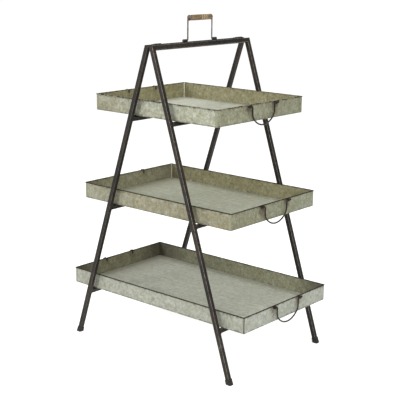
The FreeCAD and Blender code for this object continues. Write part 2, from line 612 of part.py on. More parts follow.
def make_eye(label, length, seat, end, side):
    """A split pin: an eye outside the tray's wall, a shank through it and legs turned flat inside."""
    place = standing(x=f"{end} * ({length} / 2 - sizes.rim_proud + worked.eye_reach)",
                     y=f"{side} * worked.eye_station", z=f"{seat} + worked.eye_level",
                     turn="0" if end > 0 else "180")
    body = new_body(label, place)
    ring = new_sketch(body, "ring_outline", "XZ_Plane")
    draw_circle(ring, "0", "0", "2 * worked.eye_radius")
    disc = pad(body, "ring", ring, "sizes.split_pin", both_ways=True)
    ease(body, "ring_chamfer", "Chamfer", disc, "sizes.split_pin_chamfer", lambda edge: True)
    shank = new_sketch(body, "shank_outline", "YZ_Plane")
    draw_circle(shank, "0", "0", "sizes.split_pin")
    pad(body, "shank", shank, "worked.eye_reach + sizes.sheet + sizes.split_pin / 4", backwards=True)
    tongue = new_sketch(body, "tongue_outline", "YZ_Plane", z="-(worked.eye_reach + sizes.sheet)")
    half = "sizes.split_pin / 2"
    low = f"{half} - sizes.tongue_length"
    high = f"sizes.tongue_return - {half}"
    draw(tongue, ((f"-{half}", low, half), ("0", "-sizes.tongue_length", half), (half, low),
                  (half, high, half), ("0", "sizes.tongue_return", half), (f"-{half}", high)))
    pad(body, "legs", tongue, "sizes.split_pin / 2", backwards=True)
    bore = new_sketch(body, "bore_outline", "XZ_Plane")
    draw_circle(bore, "0", "0", "worked.eye_bore")
    pocket(body, "bore", bore)


def make_bail(label, length, seat, end):
    """A hanging wire bail: tails through two eyes, straight legs and a bottom of three bends."""
    place = standing(x=f"{end} * ({length} / 2 - sizes.rim_proud + worked.eye_reach)",
                     z=f"{seat} + worked.eye_level")
    body = new_body(label, place)
    path = new_sketch(body, "path", "YZ_Plane")
    leg = "sizes.bail_leg_station"
    bend = "sizes.bail_bend"
    straight = "sizes.bail_straight"
    side_bend = "sizes.bail_side_radius"
    tail = "worked.bail_tail"
    draw(path, (
        (f"-{tail}", "0"), (f"-({leg} + {bend})", "0", f"-{bend}"), (f"-{leg}", f"-{bend}"),
        (f"-{leg}", f"-{straight}", side_bend),
        ("-worked.bail_meet_y", "worked.bail_meet_z", "worked.bail_low_radius"),
        ("worked.bail_meet_y", "worked.bail_meet_z", side_bend), (leg, f"-{straight}"),
        (leg, f"-{bend}", f"-{bend}"), (f"{leg} + {bend}", "0"), (tail, "0")), closed=False)
    section = new_sketch(body, "section", "XZ_Plane", z=tail)
    draw_circle(section, "0", "0", "sizes.bail_wire")
    sweep(body, "wire", section, path)
    for side, name in (("", "first"), ("-", "second")):
        head = new_sketch(body, f"{name}_head_outline", "XZ_Plane", z=f"{side}{tail}")
        draw_circle(head, "0", "0", "sizes.bail_wire + 2 * sizes.bail_head_rise")
        pad(body, f"{name}_head", head, "sizes.bail_head_length", backwards=bool(side))


def make_frame(name, placement, flip, turns):
    """One leaning frame: two legs, a top bar, three crossbars, two feet and two hinge leaves."""
    make_top_bar(f"{name}_top_bar", placement)
    for place, side in (("near", NEAR * flip), ("far", FAR * flip)):
        make_leg(f"{name}_leg_{place}", placement, side)
        make_foot(f"{name}_foot_{place}", placement, side)
        make_hinge_leaf(f"{name}_hinge_leaf_{place}", placement, side, turns)
    for level in ("top", "middle", "bottom"):
        make_crossbar(f"{name}_crossbar_{level}", placement, f"worked.{level}_tray_seat")


def make_tray(level):
    """One tray with its split pin eyes and its two bails."""
    length = f"sizes.{level}_tray_length"
    seat = f"worked.{level}_tray_seat"
    make_pan(f"{level}_tray_pan", length, seat)
    for end_name, end in (("left", -1), ("right", 1)):
        for place, side in (("near", NEAR), ("far", FAR)):
            make_eye(f"{level}_tray_eye_{end_name}_{place}", length, seat, end, side)
        make_bail(f"{level}_tray_bail_{end_name}", length, seat, end)


def write_pieces():
    """Check every object and every sub-part, then write one file for each sub-part."""
    failed = [item.Label for item in document.Objects
              if "Invalid" in item.State or "Error" in item.State]
    if failed:
        raise RuntimeError(f"failed: {failed}")
    os.makedirs("parts", exist_ok=True)
    for body in pieces:
        shape = body.Shape
        if shape.isNull() or not shape.isValid() or len(shape.Solids) != 1:
            raise RuntimeError(f"{body.Label} isn't one valid solid")
        shape.exportStep(f"parts/{body.Label}.step")
    print(f"{len(pieces)} sub-parts written")


make_frame("right", RIGHT_FRAME, 1, (-1, 1))
make_frame("left", LEFT_FRAME, -1, (0,))
for place_name, y_side in (("near", NEAR), ("far", FAR)):
    make_hinge_pin(f"hinge_pin_{place_name}", y_side)
    make_handle_clip(f"handle_clip_{place_name}", y_side)
make_handle_wire("handle_wire")
make_handle_grip("handle_grip")
for tray_level in ("top", "middle", "bottom"):
    make_tray(tray_level)
document.recompute()
write_pieces()
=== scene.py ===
"""Looks of a folding a-frame display shelf.

Dark worn square tube carries three weathered zinc trays with wire bails. A wire handle with a turned
wooden grip stands on the hinged top bars. Lengths are in metres, X runs along the trays, Y along the
hinges and Z up.
"""

import logging
import math
from collections.abc import Callable, Iterable, Iterator, Sequence
from contextlib import contextmanager
from dataclasses import asdict, dataclass
from enum import Enum

import bpy
from mathutils import Matrix, Vector


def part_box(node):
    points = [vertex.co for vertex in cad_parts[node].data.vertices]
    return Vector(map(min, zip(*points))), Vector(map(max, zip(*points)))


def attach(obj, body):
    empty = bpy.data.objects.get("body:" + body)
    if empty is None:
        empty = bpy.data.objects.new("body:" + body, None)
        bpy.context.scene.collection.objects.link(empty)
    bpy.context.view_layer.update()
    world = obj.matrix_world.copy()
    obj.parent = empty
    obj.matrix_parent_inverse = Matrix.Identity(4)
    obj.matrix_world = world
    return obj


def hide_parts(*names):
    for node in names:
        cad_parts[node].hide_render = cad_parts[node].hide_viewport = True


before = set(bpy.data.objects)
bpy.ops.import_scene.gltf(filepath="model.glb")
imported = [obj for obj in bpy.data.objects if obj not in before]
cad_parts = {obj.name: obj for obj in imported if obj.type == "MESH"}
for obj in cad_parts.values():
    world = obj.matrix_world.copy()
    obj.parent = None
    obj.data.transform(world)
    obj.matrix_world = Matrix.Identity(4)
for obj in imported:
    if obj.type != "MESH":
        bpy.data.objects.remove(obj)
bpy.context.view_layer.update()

logging.basicConfig(level=logging.INFO, format="%(message)s")
log = logging.getLogger("display_shelf")

Pair = tuple[float, float]
Triple = tuple[float, float, float]
Colour = tuple[float, float, float, float]
Material = bpy.types.Material
Piece = bpy.types.Object
Socket = bpy.types.NodeSocket
Test = Callable[[object, list[Vector]], bool]

# How far a frame leans, the height of the fold axis, and a top bar's upper face over that axis.
LEAN = math.radians(18.0)
FOLD_AXIS = 0.845
BAR_TOP = -0.0034
# Points nearer to each other than this count as one.
TOUCH = 1e-5
# The space that is left between neighbours, and the play of a test for a fold.
SLACK = 1e-4
# A face lies flat when its normal points up or down by more than this.
FLAT = 0.8
# The rows of nodes in a tree, and the space for each node along and down.
NODE_ROWS = 5
NODE_SPACE = (180, 160)


class Named(Enum):
    """An option whose name is a word in the names of parts."""

    @property
    def word(self) -> str:
        """The word for it in the names of parts."""
        return self.name.lower()


class Side(Named):
    """The two leaning frames, and the ends of a tray beside them, as ways along X."""

    RIGHT = 1
    LEFT = -1


class Place(Named):
    """The two ends of the hinge line, as ways along Y."""

    NEAR = -1
    FAR = 1


class Level(Named):
    """The three trays, counted from the floor."""

    TOP = 3
    MIDDLE = 2
    BOTTOM = 1


class Axis(Enum):
    """The axes, by their place in a vector."""

    X = 0
    Y = 1
    Z = 2


class Pick(Enum):
    """What edit mode selects."""

    POINTS = "VERT"
    EDGES = "EDGE"
    FACES = "FACE"


class Slot(Enum):
    """The slots of a tray's folded sheet."""

    OUTSIDE = 0
    INSIDE = 1
    FLOOR = 2
    UNDER = 3
    SEAM = 4


def tint(red: float, green: float, blue: float) -> Colour:
    """A linear colour with full cover."""
    return red, green, blue, 1.0


def scale_tint(colour: Colour, shares: Sequence[float]) -> Colour:
    """A colour with each of its parts made stronger or weaker."""
    return tint(*(part * share for part, share in zip(colour, shares)))


def ramp(value: float, start: float, full: float) -> float:
    """How far a value has gone from start to full, from 0 to 1."""
    return max(0.0, min(1.0, (value - start) / (full - start)))


def lean_place(side: Side) -> Matrix:
    """The placement of a leaning frame, with its origin on the fold axis.

    Args:
        side: The frame.

    Returns:
        The matrix from the frame's own upright axes to the stand's.
    """
    turn = 0.0 if side is Side.RIGHT else math.pi
    return (Matrix.Translation((0, 0, FOLD_AXIS)) @ Matrix.Rotation(turn, 4, "Z")
            @ Matrix.Rotation(-LEAN, 4, "Y"))


@dataclass(frozen=True)
class SheetTones:
    """How the zinc of one tray differs from the others'. What isn't listed is as in ZincFinish.

    Attributes:
        inside: The colour of the inside, in shares of INSIDE_ZINC.
        inside_end: The colour of the end walls' inside, in shares of the long walls'.
        inside_corner: The strength of the painted shade in the inner corners.
        inside_run: How much lighter the inside gets, for each metre along X: painted light.
        floor: The colour of the floor, in shares of FLOOR_ZINC.
        floor_soil: The strength of the painted shade at the floor's left end.
        seam: The two colours of the folds at the corners.
        rim_gaps: How much of the rim's dark coat is worn off.
        solder: The two colours of the solder in the corners.
    """

    base: Colour
    pale: Colour
    warm: Colour
    drift: Triple
    fade: Triple
    end_tint: Triple
    end_warm: float
    corner_line: float
    mottle: float
    stain: float
    inside: Triple
    inside_end: Triple
    inside_corner: float
    inside_run: float
    floor: Triple
    floor_soil: float
    seam: tuple[Colour, Colour]
    rim_gaps: float
    solder: tuple[Colour, Colour]


WHITE = tint(1.0, 1.0, 1.0)
INSIDE_ZINC = (tint(0.300, 0.285, 0.170), tint(0.370, 0.365, 0.245), tint(0.270, 0.235, 0.120))
FLOOR_ZINC = (tint(0.42, 0.425, 0.340), tint(0.48, 0.49, 0.410), tint(0.42, 0.39, 0.275))
PALE_SOLDER = (tint(0.66, 0.65, 0.56), tint(0.20, 0.18, 0.12))
STAINED_SOLDER = (tint(0.085, 0.068, 0.042), tint(0.26, 0.24, 0.18))
BRIGHT_SEAM = (tint(0.21, 0.205, 0.145), tint(0.115, 0.105, 0.070))
DARK_SEAM = (tint(0.030, 0.027, 0.020), tint(0.12, 0.11, 0.085))
# On each tray's inside, the lighter run along X is painted light and the corner darkening is painted shade;
# a floor's darker left end is painted shade too.
TONES = {
    Level.TOP: SheetTones(
        tint(0.228, 0.227, 0.158), tint(0.298, 0.307, 0.245), tint(0.158, 0.140, 0.070),
        drift=(-1.6, 1.0, 0.0), fade=(0.26, -0.38, 0.0), end_tint=(0.70, 0.695, 0.585), end_warm=0.12,
        corner_line=0.30, mottle=0.33, stain=0.90,
        inside=(0.75, 0.74, 0.69), inside_end=(1.06, 1.05, 1.02), inside_corner=0.0, inside_run=0.0,
        floor=(1.07, 1.08, 1.10), floor_soil=0.15, seam=BRIGHT_SEAM, rim_gaps=0.49, solder=PALE_SOLDER),
    Level.MIDDLE: SheetTones(
        tint(0.224, 0.220, 0.150), tint(0.262, 0.263, 0.198), tint(0.176, 0.155, 0.082),
        drift=(0.35, -0.5, 0.0), fade=(0.0, 0.0, 0.0), end_tint=(0.86, 0.91, 0.86), end_warm=-0.05,
        corner_line=0.20, mottle=0.33, stain=0.85,
        inside=(0.75, 0.74, 0.68), inside_end=(1.38, 1.41, 1.64), inside_corner=0.30, inside_run=0.3,
        floor=(1.44, 1.46, 1.42), floor_soil=0.55, seam=BRIGHT_SEAM, rim_gaps=0.36, solder=PALE_SOLDER),
    Level.BOTTOM: SheetTones(
        tint(0.262, 0.266, 0.210), tint(0.308, 0.320, 0.272), tint(0.222, 0.206, 0.138),
        drift=(0.0, 0.2, 0.0), fade=(0.0, 0.0, 0.0), end_tint=(1.04, 1.06, 1.07), end_warm=-0.2,
        corner_line=0.90, mottle=0.27, stain=0.65,
        inside=(0.66, 0.69, 0.74), inside_end=(1.61, 1.57, 1.55), inside_corner=0.85, inside_run=0.9,
        floor=(1.40, 1.42, 1.46), floor_soil=0.52, seam=DARK_SEAM, rim_gaps=0.27, solder=STAINED_SOLDER)}
# What shows where the coat is worn off the tubes of each frame; on the tubes' rounded corners it also stands
# for a painted highlight.
BARE_AND_HIGHLIT_TUBE = {Side.RIGHT: tint(0.150, 0.138, 0.120), Side.LEFT: tint(0.080, 0.069, 0.057)}


# Bench: the modelling steps that every piece uses


@dataclass(frozen=True)
class Dents:
    """The unevenness that hand work leaves.

    Attributes:
        size: The size of the waves.
        depth: The whole height of the waves.
        middle: 0.5 for in and out alike, 1 for inwards only.
    """

    size: float
    depth: float
    middle: float = 0.5


class Bench:
    """Modelling steps done by hand tools on one piece at a time."""

    @staticmethod
    def clear() -> None:
        """Leave edit mode and deselect everything."""
        if bpy.context.object is not None and bpy.context.object.mode != "OBJECT":
            bpy.ops.object.mode_set(mode="OBJECT")
        bpy.ops.object.select_all(action="DESELECT")

    @staticmethod
    def hold(piece: Piece) -> None:
        """Make one piece the only selected one.

        Args:
            piece: The piece.
        """
        Bench.clear()
        piece.select_set(True)
        bpy.context.view_layer.objects.active = piece

    @staticmethod
    def label(piece: Piece, name: str) -> Piece:
        """Give a piece and its mesh one name.

        Args:
            piece: The piece.
            name: The name.

        Returns:
            The piece.
        """
        piece.name = name
        piece.data.name = name
        return piece

    @staticmethod
    def take(name: str) -> Piece:
        """Name the object that an operator has just added and put its place into its mesh.

        Args:
            name: The piece's name.

        Returns:
            The piece.
        """
        piece = Bench.label(bpy.context.object, name)
        Bench.hold(piece)
        bpy.ops.object.transform_apply(location=True, rotation=True, scale=True)
        return piece

    @staticmethod
    def box(name: str, low: Sequence[float], high: Sequence[float]) -> Piece:
        """Start a piece as a block.

        Args:
            name: The piece's name.
            low: The lowest corner.
            high: The highest corner.

        Returns:
            The block.
        """
        Bench.clear()
        middle = [(a + b) / 2 for a, b in zip(low, high)]
        scale = [b - a for a, b in zip(low, high)]
        bpy.ops.mesh.primitive_cube_add(size=1, location=middle, scale=scale)
        return Bench.take(name)

    @staticmethod
    @contextmanager
    def editing(piece: Piece, pick: Pick = Pick.FACES, test: Test | None = None) -> Iterator[None]:
        """Work on a piece in edit mode, with some of its faces, edges or points selected.

        Args:
            piece: The piece to work on.
            pick: What is selected.
            test: Says of each face, edge or point and its corners whether it is selected, or None for all.

        Yields:
            Nothing. Edit mode ends with the block.
        """
        Bench.hold(piece)
        mesh = piece.data
        for group in (mesh.vertices, mesh.edges, mesh.polygons):
            group.foreach_set("select", [False] * len(group))
        groups = {Pick.POINTS: mesh.vertices, Pick.EDGES: mesh.edges, Pick.FACES: mesh.polygons}
        for item in groups[pick]:
            corners = (item.index,) if pick is Pick.POINTS else item.vertices
            item.select = test is None or bool(test(item, [mesh.vertices[index].co for index in corners]))
        bpy.context.tool_settings.mesh_select_mode = tuple(one is pick for one in Pick)
        bpy.ops.object.mode_set(mode="EDIT")
        yield
        bpy.ops.object.mode_set(mode="OBJECT")

    @staticmethod
    def slice(piece: Piece, axis: Axis, cuts: Iterable[float]) -> None:
        """Cut a piece across into shorter faces, which keeps its shape.

        Args:
            piece: The piece to cut.
            axis: The axis that the cuts go across.
            cuts: Where the cuts are on that axis.
        """
        normal = Matrix.Identity(3)[axis.value]
        with Bench.editing(piece):
            for cut in cuts:
                bpy.ops.mesh.select_all(action="SELECT")
                bpy.ops.mesh.bisect(plane_co=normal * cut, plane_no=normal)

    @staticmethod
    def steps(low: float, high: float, most: float) -> list[float]:
        """Evenly spaced places between two ends, no further apart than most."""
        count = max(1, math.ceil((high - low) / most))
        return [low + (high - low) * index / count for index in range(1, count)]

    @staticmethod
    def modify(piece: Piece, kind: str, **settings: object) -> None:
        """Add a modifier, set it and apply it.

        Args:
            piece: The piece.
            kind: The kind of modifier.
            **settings: Its properties.
        """
        Bench.hold(piece)
        modifier = piece.modifiers.new(kind.lower(), kind)
        for key, value in settings.items():
            setattr(modifier, key, value)
        bpy.ops.object.modifier_apply(modifier=modifier.name)

    @staticmethod
    def thicken(piece: Piece, wall: float) -> None:
        """Give a sheet its thickness, inwards."""
        Bench.modify(piece, "SOLIDIFY", thickness=wall, offset=-1.0, use_even_offset=True, use_rim=True)

    @staticmethod
    def uneven(piece: Piece, dents: Dents, weigh: Callable[[Vector], float] | None = None) -> None:
        """Push a surface in and out a little, as hand work leaves it.

        Args:
            piece: The piece.
            dents: How uneven it gets.
            weigh: The share of the depth at a point, or None for all of it everywhere.
        """
        clouds = bpy.data.textures.new(f"{piece.name}_waves", "CLOUDS")
        clouds.noise_scale = dents.size
        clouds.noise_depth = 1
        settings = {"texture": clouds, "texture_coords": "LOCAL", "strength": dents.depth,
                    "mid_level": dents.middle}
        if weigh is None:
            Bench.modify(piece, "DISPLACE", **settings)
            return
        group = piece.vertex_groups.new(name="waves")
        for vertex in piece.data.vertices:
            group.add([vertex.index], max(0.0, min(1.0, weigh(vertex.co))), "REPLACE")
        Bench.modify(piece, "DISPLACE", vertex_group=group.name, **settings)
        piece.vertex_groups.remove(piece.vertex_groups["waves"])

    @staticmethod
    def copy(piece: Piece, name: str, place: Matrix) -> Piece:
        """Copy a piece with its own mesh and put it somewhere else.

        Args:
            piece: The piece that was modelled once.
            name: The copy's name.
            place: The move, turn or mirroring from the piece to its copy.

        Returns:
            The copy, with its place in its mesh.
        """
        Bench.hold(piece)
        bpy.ops.object.duplicate(linked=False)
        twin = Bench.label(bpy.context.object, name)
        twin.data.transform(place)
        if place.determinant() < 0:
            twin.data.flip_normals()
        return twin

    @staticmethod
    def spread(pattern: Piece, places: dict[str, Matrix]) -> list[Piece]:
        """Copy a pattern to each of its places and put the pattern away.

        Args:
            pattern: The piece that was modelled once.
            places: Each copy's name and place.

        Returns:
            The copies.
        """
        copies = [Bench.copy(pattern, name, place) for name, place in places.items()]
        bpy.data.objects.remove(pattern)
        return copies

    @staticmethod
    def mirror_corners(piece: Piece) -> list[Piece]:
        """The piece at one corner of a tray and its mirror images at the other three."""
        ways = ((-1, 1), (1, -1), (-1, -1))
        return [piece] + [Bench.copy(piece, piece.name, Matrix.Diagonal((x, y, 1, 1))) for x, y in ways]

    @staticmethod
    def join(name: str, pieces: Sequence[Piece]) -> Piece:
        """Join pieces into the first one, which keeps every material slot.

        Args:
            name: The joined piece's name.
            pieces: The pieces.

        Returns:
            The joined piece.
        """
        Bench.hold(pieces[0])
        for piece in pieces:
            piece.select_set(True)
        bpy.ops.object.join()
        return Bench.label(pieces[0], name)

    @staticmethod
    def smooth(piece: Piece, angle: float) -> None:
        """Shade a piece smooth, with sharp edges over an angle in degrees."""
        Bench.hold(piece)
        bpy.ops.object.shade_smooth_by_angle(angle=math.radians(angle))

    @staticmethod
    def dress(piece: Piece, *materials: Material) -> None:
        """Give a piece its materials in order, in place of those it has.

        Args:
            piece: The piece.
            *materials: The materials.
        """
        piece.data.materials.clear()
        for material in materials:
            piece.data.materials.append(material)

    @staticmethod
    def finish(piece: Piece, body: str, slot: str) -> None:
        """Let a finished piece ride on its body and report it.

        Args:
            piece: The piece.
            body: The body's name.
            slot: The name of the material slot that the piece stands for; not used.
        """
        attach(piece, body)
        log.info("%s: %d faces on %s", piece.name, len(piece.data.polygons), body)


def cover_node(node: str, material: Material) -> None:
    """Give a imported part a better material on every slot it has.

    Args:
        node: The part's name.
        material: The material.
    """
    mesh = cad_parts[node].data
    if not mesh.materials:
        mesh.materials.append(material)
    for index in range(len(mesh.materials)):
        mesh.materials[index] = material
    log.info("%s: %s", node, material.name)


# Wiring: nodes of materials and shared effects


@dataclass(frozen=True)
class Pattern:
    """A noise on a surface, and the levels between which it shows.

    Attributes:
        scale: How fine it is, as a number or as an input of a group.
        detail: How many finer layers it has.
        rough: How strong those layers are.
        warp: How far it is drawn out of shape.
        stretch: How much finer it is along each axis, or None for even.
        levels: The level at which it starts to show, and that at which it is full.
    """

    scale: object = 1.0
    detail: float = 2.0
    rough: float = 0.5
    warp: float = 0.0
    stretch: Triple | None = None
    levels: Pair = (0.0, 1.0)


class Wiring:
    """Places nodes in one tree and joins them."""

    def __init__(self, tree: bpy.types.NodeTree) -> None:
        """Hold the tree to work on."""
        self.tree = tree
        self.column = 0

    def add(self, kind: str, **settings: object) -> bpy.types.Node:
        """Add a node and set its properties.

        Args:
            kind: The kind of node.
            **settings: Its properties.

        Returns:
            The node.
        """
        node = self.tree.nodes.new(kind)
        along, down = NODE_SPACE
        node.location = (self.column * along, -(self.column % NODE_ROWS) * down)
        self.column += 1
        for key, value in settings.items():
            setattr(node, key, value)
        return node

    def feed(self, target: Socket, value: object) -> None:
        """Join a socket to an input, or set the input to a value.

        Args:
            target: The input.
            value: The socket or the value.
        """
        if isinstance(value, bpy.types.NodeSocket):
            self.tree.links.new(value, target)
        else:
            target.default_value = value

    def wire(self, kind: str, output: int | str, inputs: dict[int | str, object],
             **settings: object) -> Socket:
        """Add a node, feed its inputs and give one of its outputs.

        Args:
            kind: The kind of node.
            output: The output's place or name.
            inputs: What goes into each input.
            **settings: The node's properties.

        Returns:
            The output.
        """
        node = self.add(kind, **settings)
        for key, value in inputs.items():
            self.feed(node.inputs[key], value)
        return node.outputs[output]

    def maths(self, operation: str, first: object, second: object = 0.0) -> Socket:
        """One sum of two numbers."""
        return self.wire("ShaderNodeMath", 0, {0: first, 1: second}, operation=operation)

    def plus(self, first: object, second: object) -> Socket:
        """Two numbers added."""
        return self.maths("ADD", first, second)

    def minus(self, first: object, second: object) -> Socket:
        """The first number less the second."""
        return self.maths("SUBTRACT", first, second)

    def times(self, first: object, second: object) -> Socket:
        """Two numbers multiplied."""
        return self.maths("MULTIPLY", first, second)

    def most(self, first: object, second: object) -> Socket:
        """The larger of two numbers."""
        return self.maths("MAXIMUM", first, second)

    def size(self, value: object) -> Socket:
        """A number without its sign."""
        return self.maths("ABSOLUTE", value)

    def blend(self, first: Socket, share: float, second: Socket) -> Socket:
        """A share of the first number and the rest of the second."""
        return self.plus(self.times(first, share), self.times(second, 1.0 - share))

    def between(self, value: object, low: object, high: object, start: float = 0.0,
                end: float = 1.0) -> Socket:
        """Turn a number smoothly from start to end while it goes from low to high."""
        inputs = {"Value": value, "From Min": low, "From Max": high, "To Min": start, "To Max": end}
        return self.wire("ShaderNodeMapRange", "Result", inputs, interpolation_type="SMOOTHSTEP", clamp=True)

    def mix(self, share: object, first: object, second: object, mode: str) -> Socket:
        """Mix two colours by a share."""
        inputs = {0: share, 6: first, 7: second}
        return self.wire("ShaderNodeMix", 2, inputs, data_type="RGBA", blend_type=mode, clamp_factor=True)

    def shade(self, colour: object, factor: object) -> Socket:
        """Make a colour lighter or darker by a factor."""
        return self.wire("ShaderNodeVectorMath", 0, {0: colour, "Scale": factor}, operation="SCALE")

    def dot(self, first: object, second: object) -> Socket:
        """How far one vector reaches along another."""
        return self.wire("ShaderNodeVectorMath", "Value", {0: first, 1: second}, operation="DOT_PRODUCT")

    def spot(self, name: str = "Object") -> Socket:
        """The place on the object, or its normal, in metres."""
        return self.add("ShaderNodeTexCoord").outputs[name]

    def part(self, vector: Socket, axis: Axis) -> Socket:
        """One of the three parts of a vector or a colour."""
        return self.wire("ShaderNodeSeparateXYZ", axis.value, {0: vector})

    def noise(self, vector: Socket, pattern: Pattern, output: int | str = 0) -> Socket:
        """Lay a soft noise, which goes from 0 to 1.

        Args:
            vector: The place on the object.
            pattern: What the noise is like.
            output: The output's place or name.

        Returns:
            The noise.
        """
        if pattern.stretch is not None:
            vector = self.wire("ShaderNodeMapping", 0, {"Vector": vector, "Scale": pattern.stretch})
        inputs = {"Vector": vector, "Scale": pattern.scale, "Detail": pattern.detail,
                  "Roughness": pattern.rough, "Distortion": pattern.warp}
        return self.wire("ShaderNodeTexNoise", output, inputs)

    def mask(self, vector: Socket, pattern: Pattern) -> Socket:
        """Where a pattern shows, from 0 to 1."""
        return self.between(self.noise(vector, pattern), *pattern.levels)

    def cells(self, vector: Socket, scale: object, output: str = "Color") -> Socket:
        """Cells of crystals or pits."""
        return self.wire("ShaderNodeTexVoronoi", output, {"Vector": vector, "Scale": scale})

    def bump(self, height: Socket, strength: float, depth: float) -> Socket:
        """Turn a height into a normal."""
        return self.wire("ShaderNodeBump", 0, {"Height": height, "Strength": strength, "Distance": depth})

    def use(self, group: bpy.types.NodeTree, **values: object) -> bpy.types.NodeOutputs:
        """Place a shared effect.

        Args:
            group: The effect.
            **values: What goes into its inputs, whose names are written small and with _ for spaces.

        Returns:
            The effect's outputs.
        """
        node = self.add("ShaderNodeGroup", node_tree=group)
        for key, value in values.items():
            self.feed(node.inputs[key.replace("_", " ").title()], value)
        return node.outputs


class Effect(Wiring):
    """A shared effect in the making: a shader node group with named inputs and outputs."""

    def __init__(self, name: str, inputs: dict[str, object], *outputs: str) -> None:
        """Make the group's sockets.

        Args:
            name: The effect's name.
            inputs: Each input's usual value, a number or a vector.
            *outputs: The outputs' names, all of numbers.
        """
        super().__init__(bpy.data.node_groups.new(name, "ShaderNodeTree"))
        sockets = self.tree.interface
        for label, value in inputs.items():
            kind = "NodeSocketFloat" if isinstance(value, float) else "NodeSocketVector"
            sockets.new_socket(label, in_out="INPUT", socket_type=kind).default_value = value
        for label in outputs:
            sockets.new_socket(label, in_out="OUTPUT", socket_type="NodeSocketFloat")
        self.inlet = self.add("NodeGroupInput")
        self.outlet = self.add("NodeGroupOutput")

    def read(self, label: str) -> Socket:
        """An input's socket inside the group."""
        return self.inlet.outputs[label]

    def give(self, label: str, value: Socket) -> None:
        """Join a socket to an output of the group."""
        self.feed(self.outlet.inputs[label], value)


